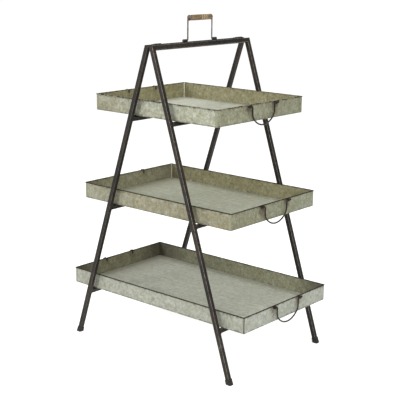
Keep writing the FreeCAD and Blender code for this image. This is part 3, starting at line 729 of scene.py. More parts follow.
class SharedEffects:
    """The effects that more than one finish uses, each built once."""

    def __init__(self) -> None:
        """Build every group."""
        self.tube_edges = self.build_tube_edges()
        self.patches = self.build_patches()
        self.spangle = self.build_spangle()
        self.streaks = self.build_streaks()
        self.tray_place = self.build_tray_place()
        self.specks = self.build_specks()

    @staticmethod
    def build_tube_edges() -> bpy.types.NodeTree:
        """Bare metal and a painted highlight on the rounded corners of a leaning square tube, found from its
        normals.

        Returns:
            The effect.
        """
        flat_face, round_corner = 0.995, 0.90
        breakup = Pattern(115.0, detail=3.0, rough=0.65, levels=(0.58, 0.40))
        effect = Effect("tube_edges", {"Across": (1, 0, 0), "Along": (0, 0, 1), "Breakup": 0.5}, "Edge")
        normal = effect.spot("Normal")
        flats = [effect.size(effect.dot(normal, axis))
                 for axis in (effect.read("Across"), effect.read("Along"), (0.0, 1.0, 0.0))]
        flattest = effect.most(effect.most(*flats[:2]), flats[2])
        rounded = effect.between(flattest, flat_face, round_corner)
        lost = effect.times(effect.read("Breakup"), effect.mask(effect.spot(), breakup))
        kept = effect.minus(1.0, lost)
        effect.give("Edge", effect.times(rounded, kept))
        return effect.tree

    @staticmethod
    def build_patches() -> bpy.types.NodeTree:
        """Irregular patches with broken edges, as wear, rust or stain leaves them.

        Returns:
            The effect.
        """
        effect = Effect("patches", {"Scale": 40.0, "Cover": 0.4, "Softness": 0.08}, "Patch", "Grain")
        spot, soft = effect.spot(), effect.read("Softness")
        large = effect.noise(spot, Pattern(effect.read("Scale"), detail=5.0, rough=0.62, warp=0.4))
        level = effect.minus(1.0, effect.read("Cover"))
        effect.give("Patch", effect.between(large, effect.minus(level, soft), effect.plus(level, soft)))
        effect.give("Grain", effect.noise(spot, Pattern(900.0, rough=0.6)))
        return effect.tree

    @staticmethod
    def build_spangle() -> bpy.types.NodeTree:
        """The frost of zinc crystals: a tone for each crystal, with finer ones among them.

        Returns:
            The effect.
        """
        farthest, times_finer, coarse_share = 0.008, 2.7, 0.62
        effect = Effect("spangle", {"Scale": 120.0}, "Tone")
        spot, scale = effect.spot(), effect.read("Scale")
        wander = effect.shade(effect.noise(spot, Pattern(160.0), output="Color"), farthest)
        moved = effect.wire("ShaderNodeVectorMath", 0, {0: wander, 1: spot}, operation="ADD")
        coarse = effect.part(effect.cells(moved, scale), Axis.X)
        finer = effect.part(effect.cells(moved, effect.times(scale, times_finer)), Axis.Y)
        effect.give("Tone", effect.blend(coarse, coarse_share, finer))
        return effect.tree

    @staticmethod
    def build_streaks() -> bpy.types.NodeTree:
        """Runs down a wall, as rain and wet hands leave them.

        Returns:
            The effect.
        """
        broad_share = 0.65
        broad = Pattern(detail=3.0, rough=0.55, warp=0.3, stretch=(70.0, 70.0, 9.0))
        narrow = Pattern(stretch=(260.0, 260.0, 22.0))
        effect = Effect("streaks", {"Scale": 1.0}, "Run")
        spot = effect.shade(effect.spot(), effect.read("Scale"))
        run = effect.blend(effect.noise(spot, broad), broad_share, effect.noise(spot, narrow))
        effect.give("Run", run)
        return effect.tree

    @staticmethod
    def build_tray_place() -> bpy.types.NodeTree:
        """Where a point lies on a tray: its height, and how near it is to a wall, a corner and an eye.

        The distance to an eye is that to a spot a little under it, and counts less up and down.

        Returns:
            The effect.
        """
        drop, height_share = 0.003, 0.75
        effect = Effect("tray_place", {"Seat": 0.1, "Half Length": 0.3, "Half Width": 0.18,
                                       "Eye Station": 0.055, "Eye Level": 0.0408},
                        "Height", "To Wall", "To Corner", "To Eye")
        spot = effect.spot()
        along, across, up = (effect.part(spot, axis) for axis in Axis)
        height = effect.minus(up, effect.read("Seat"))
        side_x = effect.minus(effect.read("Half Length"), effect.size(along))
        side_y = effect.minus(effect.read("Half Width"), effect.size(across))
        effect.give("Height", height)
        effect.give("To Wall", effect.maths("MINIMUM", side_x, side_y))
        effect.give("To Corner", effect.most(side_x, side_y))
        eye_y = effect.minus(effect.size(across), effect.read("Eye Station"))
        below = effect.minus(height, effect.read("Eye Level"))
        eye_z = effect.times(effect.plus(below, drop), height_share)
        reach = side_x
        for part in (eye_y, eye_z):
            both = effect.plus(effect.times(reach, reach), effect.times(part, part))
            reach = effect.maths("SQRT", both)
        effect.give("To Eye", reach)
        return effect.tree

    @staticmethod
    def build_specks() -> bpy.types.NodeTree:
        """Small dark pits and drips, thinly spread.

        Returns:
            The effect.
        """
        effect = Effect("specks", {"Scale": 160.0, "Size": 0.16, "Cover": 0.3}, "Speck")
        spot, scale = effect.spot(), effect.read("Scale")
        inside = effect.maths("LESS_THAN", effect.cells(spot, scale, "Distance"), effect.read("Size"))
        chance = effect.part(effect.cells(spot, scale), Axis.Z)
        kept = effect.maths("LESS_THAN", chance, effect.read("Cover"))
        effect.give("Speck", effect.times(inside, kept))
        return effect.tree


class Paint(Wiring):
    """A material in the making, with the colour that its coats give so far."""

    def __init__(self, name: str, colour: Colour) -> None:
        """Start a node material.

        Args:
            name: The material's name.
            colour: Its first colour.
        """
        self.material = bpy.data.materials.new(name)
        self.material.use_nodes = True
        self.material.node_tree.nodes.clear()
        super().__init__(self.material.node_tree)
        self.shader = self.add("ShaderNodeBsdfPrincipled")
        self.feed(self.add("ShaderNodeOutputMaterial").inputs["Surface"], self.shader.outputs[0])
        self.colour: object = colour

    def lay(self, colour: Colour, mask: Socket, share: float = 1.0, mode: str = "MIX") -> None:
        """Lay a coat over the colour so far.

        Args:
            colour: The coat's colour.
            mask: Where the coat is.
            share: How strongly it covers there.
            mode: How it goes together with what is under it.
        """
        cover = mask if share == 1.0 else self.times(mask, share)
        self.colour = self.mix(cover, self.colour, colour, mode)

    def tone(self, factor: Socket) -> None:
        """Make the colour so far lighter or darker by a factor."""
        self.colour = self.shade(self.colour, factor)

    def vary(self, pattern: Socket, low: float, high: float, by: float) -> None:
        """Make the colour so far darker where a pattern is low and lighter where it is high."""
        self.tone(self.between(pattern, low, high, 1.0 - by, 1.0 + by))

    def emboss(self, height: Socket, strength: float, depth: float) -> None:
        """Give the surface a fine relief."""
        self.feed(self.shader.inputs["Normal"], self.bump(height, strength, depth))

    def close(self, rough: object, metallic: float = 0.0, mirror: float = 0.5) -> Material:
        """Feed the shader.

        Args:
            rough: How dull the surface is.
            metallic: How much it is bare metal.
            mirror: How strongly it mirrors where it isn't metal.

        Returns:
            The finished material.
        """
        for label, value in (("Base Color", self.colour), ("Roughness", rough), ("Metallic", metallic),
                             ("Specular IOR Level", mirror)):
            self.feed(self.shader.inputs[label], value)
        return self.material


# Finishes


@dataclass(frozen=True)
class SteelFinish:
    """Dark worn steel with bare edges and a little rust.

    Attributes:
        bare_cover: How much is worn off in patches.
        rust_cover: How much is rusty.
        scale: How fine the worn patches are.
        rust_scale: How much finer the rusty ones are.
        streak: The strength of the streaks.
        side: The frame whose tubes have bare corners with a painted highlight, or None for none.
        breakup: How far those bare corners are broken up.
        mottle_tones: The darkest and the lightest tone of the mottling.
        mottle_gloss: The least and the most that the mottling adds to the roughness.
        run_levels: The levels between which the streaks show.
        bare_share: How strongly bare metal covers in the patches.
        rust_share: How strongly rust covers.
        rust_dulls: How much rust adds to the roughness.
        relief: The strength and the depth of the relief.
        mottle_relief: The share of the mottling in the relief, whose rest is fine grain.
    """

    name: str
    dark: Colour = tint(0.0120, 0.0106, 0.0088)
    brown: Colour = tint(0.0225, 0.0168, 0.0122)
    bare: Colour = tint(0.150, 0.138, 0.120)
    rust: Colour = tint(0.052, 0.030, 0.016)
    bare_cover: float = 0.30
    rust_cover: float = 0.28
    scale: float = 38.0
    rust_scale: float = 1.9
    streak: float = 0.34
    roughness: float = 0.50
    metallic: float = 0.15
    mirror: float = 0.22
    side: Side | None = None
    breakup: float = 0.7
    mottle_pattern: Pattern = Pattern(170.0, detail=4.0, rough=0.65, levels=(0.2, 0.8))
    mottle_tones: Pair = (0.72, 1.34)
    mottle_gloss: Pair = (-0.07, 0.09)
    brown_pattern: Pattern = Pattern(6.0, detail=3.0, rough=0.6, levels=(0.38, 0.62))
    run_levels: Pair = (0.32, 0.68)
    bare_share: float = 0.45
    rust_share: float = 0.6
    rust_dulls: float = 0.3
    relief: Pair = (0.35, 0.0006)
    mottle_relief: float = 0.7

    def material(self, effects: SharedEffects) -> Material:
        """Build the material.

        Args:
            effects: The shared effects.

        Returns:
            The material.
        """
        paint = Paint(self.name, self.dark)
        spot = paint.spot()
        mottle, mottle_levels = paint.noise(spot, self.mottle_pattern), self.mottle_pattern.levels
        paint.lay(self.brown, paint.mask(spot, self.brown_pattern))
        paint.tone(paint.between(mottle, *mottle_levels, *self.mottle_tones))
        paint.vary(paint.use(effects.streaks, scale=1.6)["Run"], *self.run_levels, self.streak)
        worn = paint.use(effects.patches, scale=self.scale, cover=self.bare_cover, softness=0.10)
        paint.lay(self.bare, worn["Patch"], self.bare_share)
        # The rounded corners get the bare colour: worn edges and a painted highlight in one.
        if self.side is not None:
            across = (math.cos(LEAN) * self.side.value, 0.0, math.sin(LEAN))
            along = (-math.sin(LEAN) * self.side.value, 0.0, math.cos(LEAN))
            edges = paint.use(effects.tube_edges, across=across, along=along, breakup=self.breakup)
            paint.lay(self.bare, edges["Edge"])
        rusty = paint.use(effects.patches, scale=self.scale * self.rust_scale, cover=self.rust_cover,
                          softness=0.06)
        paint.lay(self.rust, rusty["Patch"], self.rust_share)
        paint.emboss(paint.blend(mottle, self.mottle_relief, rusty["Grain"]), *self.relief)
        dull = paint.between(rusty["Patch"], 0.0, 1.0, self.roughness, self.roughness + self.rust_dulls)
        rough = paint.plus(dull, paint.between(mottle, *mottle_levels, *self.mottle_gloss))
        return paint.close(rough, self.metallic, self.mirror)


@dataclass(frozen=True)
class TrayPlace:
    """Where a tray and its eyes are, for patterns that follow its walls."""

    seat: float
    half_length: float
    half_width: float
    eye_station: float
    eye_level: float


@dataclass(frozen=True)
class ZincFinish:
    """Weathered galvanised sheet.

    Attributes:
        base: The usual colour.
        pale: The frosted clouds.
        warm: The soiled patches.
        warm_cover: How much is soiled.
        drift: How much more is soiled, for each metre along X, Y and Z.
        fade: How much lighter the sheet gets, for each metre along X, Y and Z. On the insides this is
            painted light, lighter towards +X.
        spangle: The strength of the crystals.
        mottle: The strength of the fine mottling.
        runs: The strength of the runs down the walls.
        rolled: The strength of the lines that rolling leaves along X.
        end_tint: The colour of the end walls, in shares of the long walls'.
        end_warm: How much more of the end walls is soiled.
        edge_shade: The strength of the painted shade at a wall's foot and under its rim, and on a floor
            along its walls.
        along_walls: Whether the painted shade lies on the floor along the walls, not at a wall's foot and
            rim.
        corner_line: The strength of the dark line down each corner.
        corner_shade: The strength of the painted shade beside each corner.
        end_soil: The strength of the painted shade at the left end.
        stain: The strength of the rust stains at the eyes.
        wander: How far ragged edges wander.
        drips: How far the painted shade's edge drips up from a wall's foot and down from its rim.
        end_wall: How far a normal points along X from no end wall to a whole one.
        foot_shade: From which height to which the painted shade at a wall's foot gets full.
        rim_grime: The same for the painted shade under the rim.
        wall_reach: From how far to how near a wall the painted shade on a floor gets full.
        line_reach: The same for a corner's dark line.
        corner_reach: The same for the painted shade beside a corner.
        end_reach: The same for the painted shade at the left end.
        halo_reach: The same for the pale ring of a rust stain.
        rust_reach: The same for its dark middle.
        wall_wander: How many times as far as wander the edge of the painted shade on a floor goes.
        line_wander: The same for a corner's dark line.
        corner_wander: The same for the painted shade beside a corner.
        eye_wander: The same for a rust stain.
        halo_share: How strongly the pale ring of a rust stain covers.
        rust_share: The same for its dark middle.
        warm_share: The same for the soiled patches.
        speck_share: The same for the specks.
        end_shade: How dark the painted shade at the left end is, in shares of the soiled patches' colour.
        run_levels: The levels between which the runs show.
        relief: The strength and the depth of the relief.
        mottle_relief: The share of the mottling in the relief, whose rest is crystals.
        gloss: The least and the most that the crystals add to the roughness.
    """

    name: str
    base: Colour
    pale: Colour = tint(0.365, 0.385, 0.335)
    warm: Colour = tint(0.262, 0.240, 0.150)
    dark: Colour = tint(0.075, 0.068, 0.045)
    rust: Colour = tint(0.056, 0.043, 0.022)
    halo: Colour = tint(0.172, 0.140, 0.074)
    warm_cover: float = 0.42
    drift: Triple = (0.0, 0.0, 0.0)
    fade: Triple = (0.0, 0.0, 0.0)
    spangle: float = 0.11
    mottle: float = 0.34
    runs: float = 0.05
    rolled: float = 0.0
    end_tint: Triple = (1.0, 1.0, 1.0)
    end_warm: float = 0.0
    edge_shade: float = 0.62
    along_walls: bool = False
    corner_line: float = 0.0
    corner_shade: float = 0.0
    end_soil: float = 0.0
    stain: float = 0.0
    roughness: float = 0.55
    metallic: float = 0.22
    wander: float = 0.0022
    drips: Pair = (0.0026, 0.0030)
    end_wall: Pair = (0.4, 0.8)
    foot_shade: Pair = (0.0038, 0.0008)
    rim_grime: Pair = (0.0404, 0.0430)
    wall_reach: Pair = (0.040, 0.0)
    line_reach: Pair = (0.0026, 0.0012)
    corner_reach: Pair = (0.13, 0.0)
    end_reach: Pair = (0.11, 0.01)
    halo_reach: Pair = (0.031, 0.008)
    rust_reach: Pair = (0.019, 0.004)
    wall_wander: float = 2.5
    line_wander: float = 0.3
    corner_wander: float = 6.0
    eye_wander: float = 2.6
    halo_share: float = 0.40
    rust_share: float = 0.95
    warm_share: float = 0.8
    speck_share: float = 0.5
    end_shade: float = 0.45
    cloud_pattern: Pattern = Pattern(62.0, detail=4.0, rough=0.62, levels=(0.36, 0.64))
    mottle_pattern: Pattern = Pattern(175.0, detail=4.0, rough=0.72, warp=0.3, levels=(0.25, 0.75))
    ragged_pattern: Pattern = Pattern(130.0, detail=3.0, rough=0.6, levels=(0.3, 0.7))
    drip_pattern: Pattern = Pattern(120.0, stretch=(1.0, 1.0, 0.25), levels=(0.54, 0.62))
    roll_pattern: Pattern = Pattern(detail=3.0, rough=0.6, stretch=(7.0, 270.0, 1.0), levels=(0.3, 0.7))
    run_levels: Pair = (0.3, 0.7)
    relief: Pair = (0.22, 0.0008)
    mottle_relief: float = 0.6
    gloss: Pair = (-0.10, 0.12)

    def material(self, effects: SharedEffects, place: TrayPlace) -> Material:
        """Build the material for one tray.

        Args:
            effects: The shared effects.
            place: Where the tray stands.

        Returns:
            The material.
        """
        paint = Paint(self.name, self.base)
        crystals = paint.use(effects.spangle, scale=135.0)["Tone"]
        mottle = paint.noise(paint.spot(), self.mottle_pattern)
        self.lay_zinc(paint, effects, crystals, mottle)
        where = paint.use(effects.tray_place, **asdict(place))
        coarse = paint.noise(paint.spot(), self.ragged_pattern)
        ragged = paint.between(coarse, *self.ragged_pattern.levels, -self.wander, self.wander)
        # Painted shade at the folds, rim, walls, corners and left end, laid with the sheet's own dark lines,
        # specks and rust stains.
        self.lay_grime(paint, effects, where, ragged)
        self.lay_soil(paint, place, where, ragged)
        paint.emboss(paint.blend(mottle, self.mottle_relief, crystals), *self.relief)
        rough = paint.between(crystals, 0.0, 1.0, *(self.roughness + more for more in self.gloss))
        return paint.close(rough, self.metallic)

    def lay_zinc(self, paint: Paint, effects: SharedEffects, crystals: Socket, mottle: Socket) -> None:
        """Lay the zinc itself, with its clouds, crystals and runs.

        Args:
            paint: The material in the making.
            effects: The shared effects.
            crystals: The tone of each crystal.
            mottle: The fine mottling.
        """
        spot = paint.spot()
        paint.lay(self.pale, paint.mask(spot, self.cloud_pattern))
        facing = paint.size(paint.part(paint.spot("Normal"), Axis.X))
        on_walls = paint.between(facing, *self.end_wall, self.warm_cover, self.warm_cover + self.end_warm)
        cover = paint.plus(paint.dot(spot, self.drift), on_walls)
        soiled = paint.use(effects.patches, scale=64.0, cover=cover, softness=0.19)
        paint.lay(self.warm, soiled["Patch"], self.warm_share)
        paint.vary(crystals, 0.0, 1.0, self.spangle)
        paint.vary(mottle, *self.mottle_pattern.levels, self.mottle)
        paint.vary(paint.use(effects.streaks, scale=1.0)["Run"], *self.run_levels, self.runs)
        if self.rolled:
            lines = paint.noise(spot, self.roll_pattern)
            paint.vary(lines, *self.roll_pattern.levels, self.rolled)
        # A slope of tone across the sheet; on the insides it is painted light.
        if any(self.fade):
            paint.tone(paint.plus(1.0, paint.dot(spot, self.fade)))
        paint.lay(tint(*self.end_tint), paint.between(facing, *self.end_wall), mode="MULTIPLY")

    def lay_grime(self, paint: Paint, effects: SharedEffects, where: bpy.types.NodeOutputs,
                  ragged: Socket) -> None:
        """Lay painted shade along the folds, walls and rim, and the specks.

        Args:
            paint: The material in the making.
            effects: The shared effects.
            where: The place on the tray.
            ragged: How far edges wander.
        """
        # Painted shade: on a floor along its walls, else at a wall's foot and under its rim, with ragged
        # edges and drips.
        if self.along_walls:
            painted_edge_shade = self.near(paint, where["To Wall"], ragged, self.wall_wander, self.wall_reach)
        else:
            dripping = paint.mask(paint.spot(), self.drip_pattern)
            up, down = (paint.times(dripping, drip) for drip in self.drips)
            height = paint.plus(where["Height"], ragged)
            foot = paint.between(paint.minus(height, up), *self.foot_shade)
            painted_edge_shade = paint.most(foot, paint.between(paint.plus(height, down), *self.rim_grime))
        specks = paint.use(effects.specks, scale=115.0, size=0.13, cover=0.22)["Speck"]
        paint.lay(self.dark, paint.most(paint.times(painted_edge_shade, self.edge_shade),
                                        paint.times(specks, self.speck_share)))

    def lay_soil(self, paint: Paint, place: TrayPlace, where: bpy.types.NodeOutputs,
                 ragged: Socket) -> None:
        """Lay the dark lines and painted shade at the corners, painted shade at the left end and the stains
        at the eyes.

        Args:
            paint: The material in the making.
            place: Where the tray stands.
            where: The place on the tray.
            ragged: How far edges wander.
        """
        # The dark lines down the corners are the sheet's own; the darkening beside the corners is painted
        # shade.
        corners = ((self.corner_line, self.line_wander, self.line_reach),
                   (self.corner_shade, self.corner_wander, self.corner_reach))
        for strength, wander, reach in corners:
            if strength:
                paint.lay(self.dark, self.near(paint, where["To Corner"], ragged, wander, reach), strength)
        # Painted shade: the floor darker towards its left end, where its wall shades it.
        if self.end_soil:
            from_end = paint.plus(paint.part(paint.spot(), Axis.X), place.half_length)
            soil = scale_tint(self.warm, [self.end_shade] * 3)
            paint.lay(soil, paint.between(from_end, *self.end_reach), self.end_soil)
        if self.stain:
            stains = ((self.halo, self.halo_share, self.halo_reach),
                      (self.rust, self.rust_share, self.rust_reach))
            for colour, share, reach in stains:
                ring = self.near(paint, where["To Eye"], ragged, self.eye_wander, reach)
                paint.lay(colour, ring, self.stain * share)

    @staticmethod
    def near(paint: Paint, distance: Socket, ragged: Socket, wander: float, reach: Pair) -> Socket:
        """A mask that grows as a distance gets small, with a ragged edge that wanders."""
        return paint.between(paint.plus(distance, paint.times(ragged, wander)), *reach)


@dataclass(frozen=True)
class TrimFinish:
    """The rim, tabs, seams and solder of a tray: a coat with worn gaps.

    Attributes:
        coat: The coat's colour.
        bare: What shows in its gaps.
        scale: How fine the gaps are.
        cover: How much is worn off.
        fine_tones: The darkest and the lightest tone of the fine mottling.
        relief: The strength and the depth of the relief.
        gloss_levels: The levels of the mottling between which the roughness changes.
        gloss: The least and the most that it adds to the roughness.
    """

    name: str
    coat: Colour
    bare: Colour
    scale: float = 85.0
    cover: float = 0.35
    roughness: float = 0.5
    metallic: float = 0.3
    mirror: float = 0.5
    fine_pattern: Pattern = Pattern(420.0, detail=3.0, rough=0.6, levels=(0.25, 0.75))
    fine_tones: Pair = (0.75, 1.28)
    relief: Pair = (0.3, 0.0004)
    gloss_levels: Pair = (0.2, 0.8)
    gloss: Pair = (-0.10, 0.15)

    def material(self, effects: SharedEffects) -> Material:
        """Build the material.

        Args:
            effects: The shared effects.

        Returns:
            The material.
        """
        paint = Paint(self.name, self.coat)
        worn = paint.use(effects.patches, scale=self.scale, cover=self.cover, softness=0.07)
        paint.lay(self.bare, worn["Patch"])
        fine = paint.noise(paint.spot(), self.fine_pattern)
        paint.tone(paint.between(fine, *self.fine_pattern.levels, *self.fine_tones))
        paint.emboss(fine, *self.relief)
        rough = paint.between(fine, *self.gloss_levels, *(self.roughness + more for more in self.gloss))
        return paint.close(rough, self.metallic, self.mirror)


@dataclass(frozen=True)
class WoodFinish:
    """Turned and oiled wood, with grain along the grip, painted highlight bands and darker ends.

    Attributes:
        half_length: From the grip's middle to its end.
        band_middle: Where the painted highlight bands are, from the grip's middle.
        band_reach: From how far to how near that place the highlight bands get full.
        band_pitch: From one highlight band to the next.
        band_slant: How far the highlight bands lean.
        soil_reach: From how far to how near an end the soil gets full.
        wave_levels: The levels of a sine wave between which a painted highlight band shows.
        fibre_share: How strongly the light fibres cover.
        band_share: The same for the painted highlight bands.
        soil_share: The same for the soil at the ends.
        pore_share: The same for the pores.
        pore_depth: How deep the pores lie in the relief, in shares of the fibres.
        relief: The strength and the depth of the relief.
        gloss_levels: The levels of the fibres between which the roughness changes.
        gloss: The least and the most that they add to the roughness.
    """

    name: str
    half_length: float
    honey: Colour = tint(0.150, 0.090, 0.037)
    brown: Colour = tint(0.062, 0.034, 0.014)
    # The pale colour of the fibres, and also of the painted highlight bands.
    light: Colour = tint(0.46, 0.335, 0.190)
    soiled: Colour = tint(0.060, 0.042, 0.028)
    band_middle: float = 0.0125
    band_reach: Pair = (0.0150, 0.0115)
    band_pitch: float = 0.0088
    band_slant: float = 0.3
    soil_reach: Pair = (0.010, 0.001)
    wave_levels: Pair = (0.1, 0.75)
    fibre_pattern: Pattern = Pattern(detail=4.0, rough=0.65, warp=0.8, stretch=(420.0, 14.0, 420.0),
                                     levels=(0.42, 0.70))
    figure_pattern: Pattern = Pattern(detail=3.0, rough=0.6, warp=1.6, stretch=(95.0, 26.0, 95.0),
                                      levels=(0.34, 0.66))
    pore_pattern: Pattern = Pattern(stretch=(1500.0, 60.0, 1500.0), levels=(0.62, 0.72))
    fibre_share: float = 0.55
    band_share: float = 0.85
    soil_share: float = 0.7
    pore_share: float = 0.5
    pore_depth: float = 0.6
    relief: Pair = (0.25, 0.0004)
    roughness: float = 0.42
    gloss_levels: Pair = (0.3, 0.7)
    gloss: Pair = (-0.06, 0.14)

    def material(self, effects: SharedEffects) -> Material:
        """Build the material.

        Args:
            effects: The shared effects.

        Returns:
            The material.
        """
        paint = Paint(self.name, self.honey)
        spot = paint.spot()
        along = paint.part(spot, Axis.Y)
        fibre = paint.noise(spot, self.fibre_pattern)
        paint.lay(self.brown, paint.mask(spot, self.figure_pattern))
        paint.lay(self.light, paint.between(fibre, *self.fibre_pattern.levels), self.fibre_share)
        # Painted highlight: pale slanted bands round the grip's middle, broken up in patches.
        middle = paint.between(paint.size(paint.minus(along, self.band_middle)), *self.band_reach)
        slanted = paint.minus(along, paint.times(paint.part(spot, Axis.Z), self.band_slant))
        wave = paint.maths("SINE", paint.times(slanted, 2 * math.pi / self.band_pitch))
        highlight_bands = paint.times(paint.between(wave, *self.wave_levels), middle)
        rubbed = paint.use(effects.patches, scale=110.0, cover=0.66, softness=0.16)["Patch"]
        paint.lay(self.light, paint.times(highlight_bands, rubbed), self.band_share)
        from_end = paint.minus(self.half_length, paint.size(along))
        paint.lay(self.soiled, paint.between(from_end, *self.soil_reach), self.soil_share)
        pores = paint.mask(spot, self.pore_pattern)
        paint.lay(self.brown, pores, self.pore_share)
        paint.emboss(paint.minus(fibre, paint.times(pores, self.pore_depth)), *self.relief)
        rough = paint.between(fibre, *self.gloss_levels, *(self.roughness + more for more in self.gloss))
        return paint.close(rough)


@dataclass(frozen=True)
class CapFinish:
    """Matt black moulded foot caps with scuffed soles and dust.

    Attributes:
        scuff_height: The height over which the scuffs thin out.
        scuffs_above: How much of them is left there.
        dust_share: How strongly the dust covers.
        dust_dulls: How much it adds to the roughness.
        relief: The strength and the depth of the relief.
    """

    name: str
    black: Colour = tint(0.0135, 0.0120, 0.0102)
    dust: Colour = tint(0.060, 0.052, 0.043)
    scuff_height: float = 0.006
    scuffs_above: float = 0.25
    dust_share: float = 0.7
    dust_dulls: float = 0.25
    relief: Pair = (0.3, 0.0003)
    roughness: float = 0.62
    mirror: float = 0.26

    def material(self, effects: SharedEffects) -> Material:
        """Build the material.

        Args:
            effects: The shared effects.

        Returns:
            The material.
        """
        paint = Paint(self.name, self.black)
        scuffs = paint.use(effects.patches, scale=120.0, cover=0.42, softness=0.10)
        height = paint.part(paint.spot(), Axis.Z)
        low = paint.between(height, self.scuff_height, 0.0, self.scuffs_above, 1.0)
        dusty = paint.times(scuffs["Patch"], low)
        paint.lay(self.dust, dusty, self.dust_share)
        paint.emboss(scuffs["Grain"], *self.relief)
        rough = paint.between(dusty, 0.0, 1.0, self.roughness, self.roughness + self.dust_dulls)
        return paint.close(rough, mirror=self.mirror)


# Sub-assemblies


@dataclass
class LeaningFrame:
    """One leaning frame of square tube with the weld beads at its crossbars.

    Attributes:
        leg_inner: The inner face of a leg from the stand's middle.
        bead: The radius of a weld bead.
        bead_spread: How much wider the bead's middle line is than the tube.
        bead_corner: How far that line's corners are rounded.
        ground: How far the beads are ground off on the side towards the other frame.
        lumps: The unevenness of the beads.
    """

    side: Side
    effects: SharedEffects
    tube: float = 0.012
    leg_inner: float = 0.189
    bead: float = 0.0013
    bead_spread: float = 0.0004
    bead_corner: float = 0.0016
    ground: float = 0.0022
    lumps: Dents = Dents(0.0024, 0.0007)

    def build_weld(self) -> Piece:
        """Model the weld of a crossbar at the origin, on the face at y = 0.

        The bead runs round three sides. The side towards the other frame at -X is ground flat,
        so that the two frames fold close together.

        Returns:
            The bead, in the frame's own upright axes.
        """
        Bench.clear()
        bpy.ops.mesh.primitive_plane_add(size=self.tube + self.bead_spread)
        ring = Bench.take("weld_ring")
        with Bench.editing(ring):
            bpy.ops.mesh.delete(type="ONLY_FACE")
            bpy.ops.mesh.select_all(action="SELECT")
            bpy.ops.mesh.bevel(offset=self.bead_corner, segments=4, affect="VERTICES")
            bpy.ops.mesh.select_all(action="SELECT")
            bpy.ops.mesh.subdivide(number_cuts=3)
        with Bench.editing(ring, Pick.POINTS, lambda point, spots: point.co.x < self.ground - self.tube / 2):
            bpy.ops.mesh.delete(type="VERT")
            bpy.ops.mesh.select_all(action="SELECT")
            bpy.ops.transform.rotate(value=math.pi / 2, orient_axis="X", center_override=(0, 0, 0))
        Bench.hold(ring)
        bpy.ops.object.convert(target="CURVE")
        wire = bpy.context.object.data
        wire.bevel_depth = self.bead
        wire.bevel_resolution = 2
        wire.use_fill_caps = True
        bpy.ops.object.convert(target="MESH")
        ring = Bench.take("weld_ring")
        with Bench.editing(ring):
            bpy.ops.mesh.remove_doubles(threshold=TOUCH)
            bpy.ops.mesh.normals_make_consistent(inside=False)
        Bench.uneven(ring, self.lumps)
        Bench.smooth(ring, angle=60)
        return ring

    def build(self) -> list[Piece]:
        """Model the weld beads and put one round both ends of every crossbar.

        Returns:
            The six beads of this frame.
        """
        places = {}
        leaning = Matrix.Rotation(-LEAN * self.side.value, 4, "Y")
        for level in Level:
            low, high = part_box(f"{self.side.word}_crossbar_{level.word}")
            middle = (low + high) / 2
            for place in Place:
                turn = Matrix.Diagonal((self.side.value, -place.value, 1, 1))
                spot = Matrix.Translation((middle.x, place.value * self.leg_inner, middle.z))
                places[f"{self.side.word}_{level.word}_weld_{place.word}"] = spot @ leaning @ turn
        return Bench.spread(self.build_weld(), places)

    def dress(self, beads: Sequence[Piece]) -> None:
        """Finish the tubes, caps and beads of this frame.

        Args:
            beads: The weld beads.
        """
        name = self.side.word
        tube = SteelFinish(f"{name}_tube_steel", bare=BARE_AND_HIGHLIT_TUBE[self.side],
                           side=self.side).material(self.effects)
        weld = SteelFinish(f"{name}_weld_steel", scale=160.0, bare_cover=0.42,
                           roughness=0.42).material(self.effects)
        cap = CapFinish(f"{name}_foot_cap").material(self.effects)
        cover_node(f"{name}_top_bar", tube)
        for place in Place:
            cover_node(f"{name}_leg_{place.word}", tube)
            cover_node(f"{name}_foot_{place.word}", cap)
        for level in Level:
            cover_node(f"{name}_crossbar_{level.word}", tube)
        for bead in beads:
            Bench.dress(bead, weld)
            Bench.finish(bead, f"{name}_frame", "frame_tube")


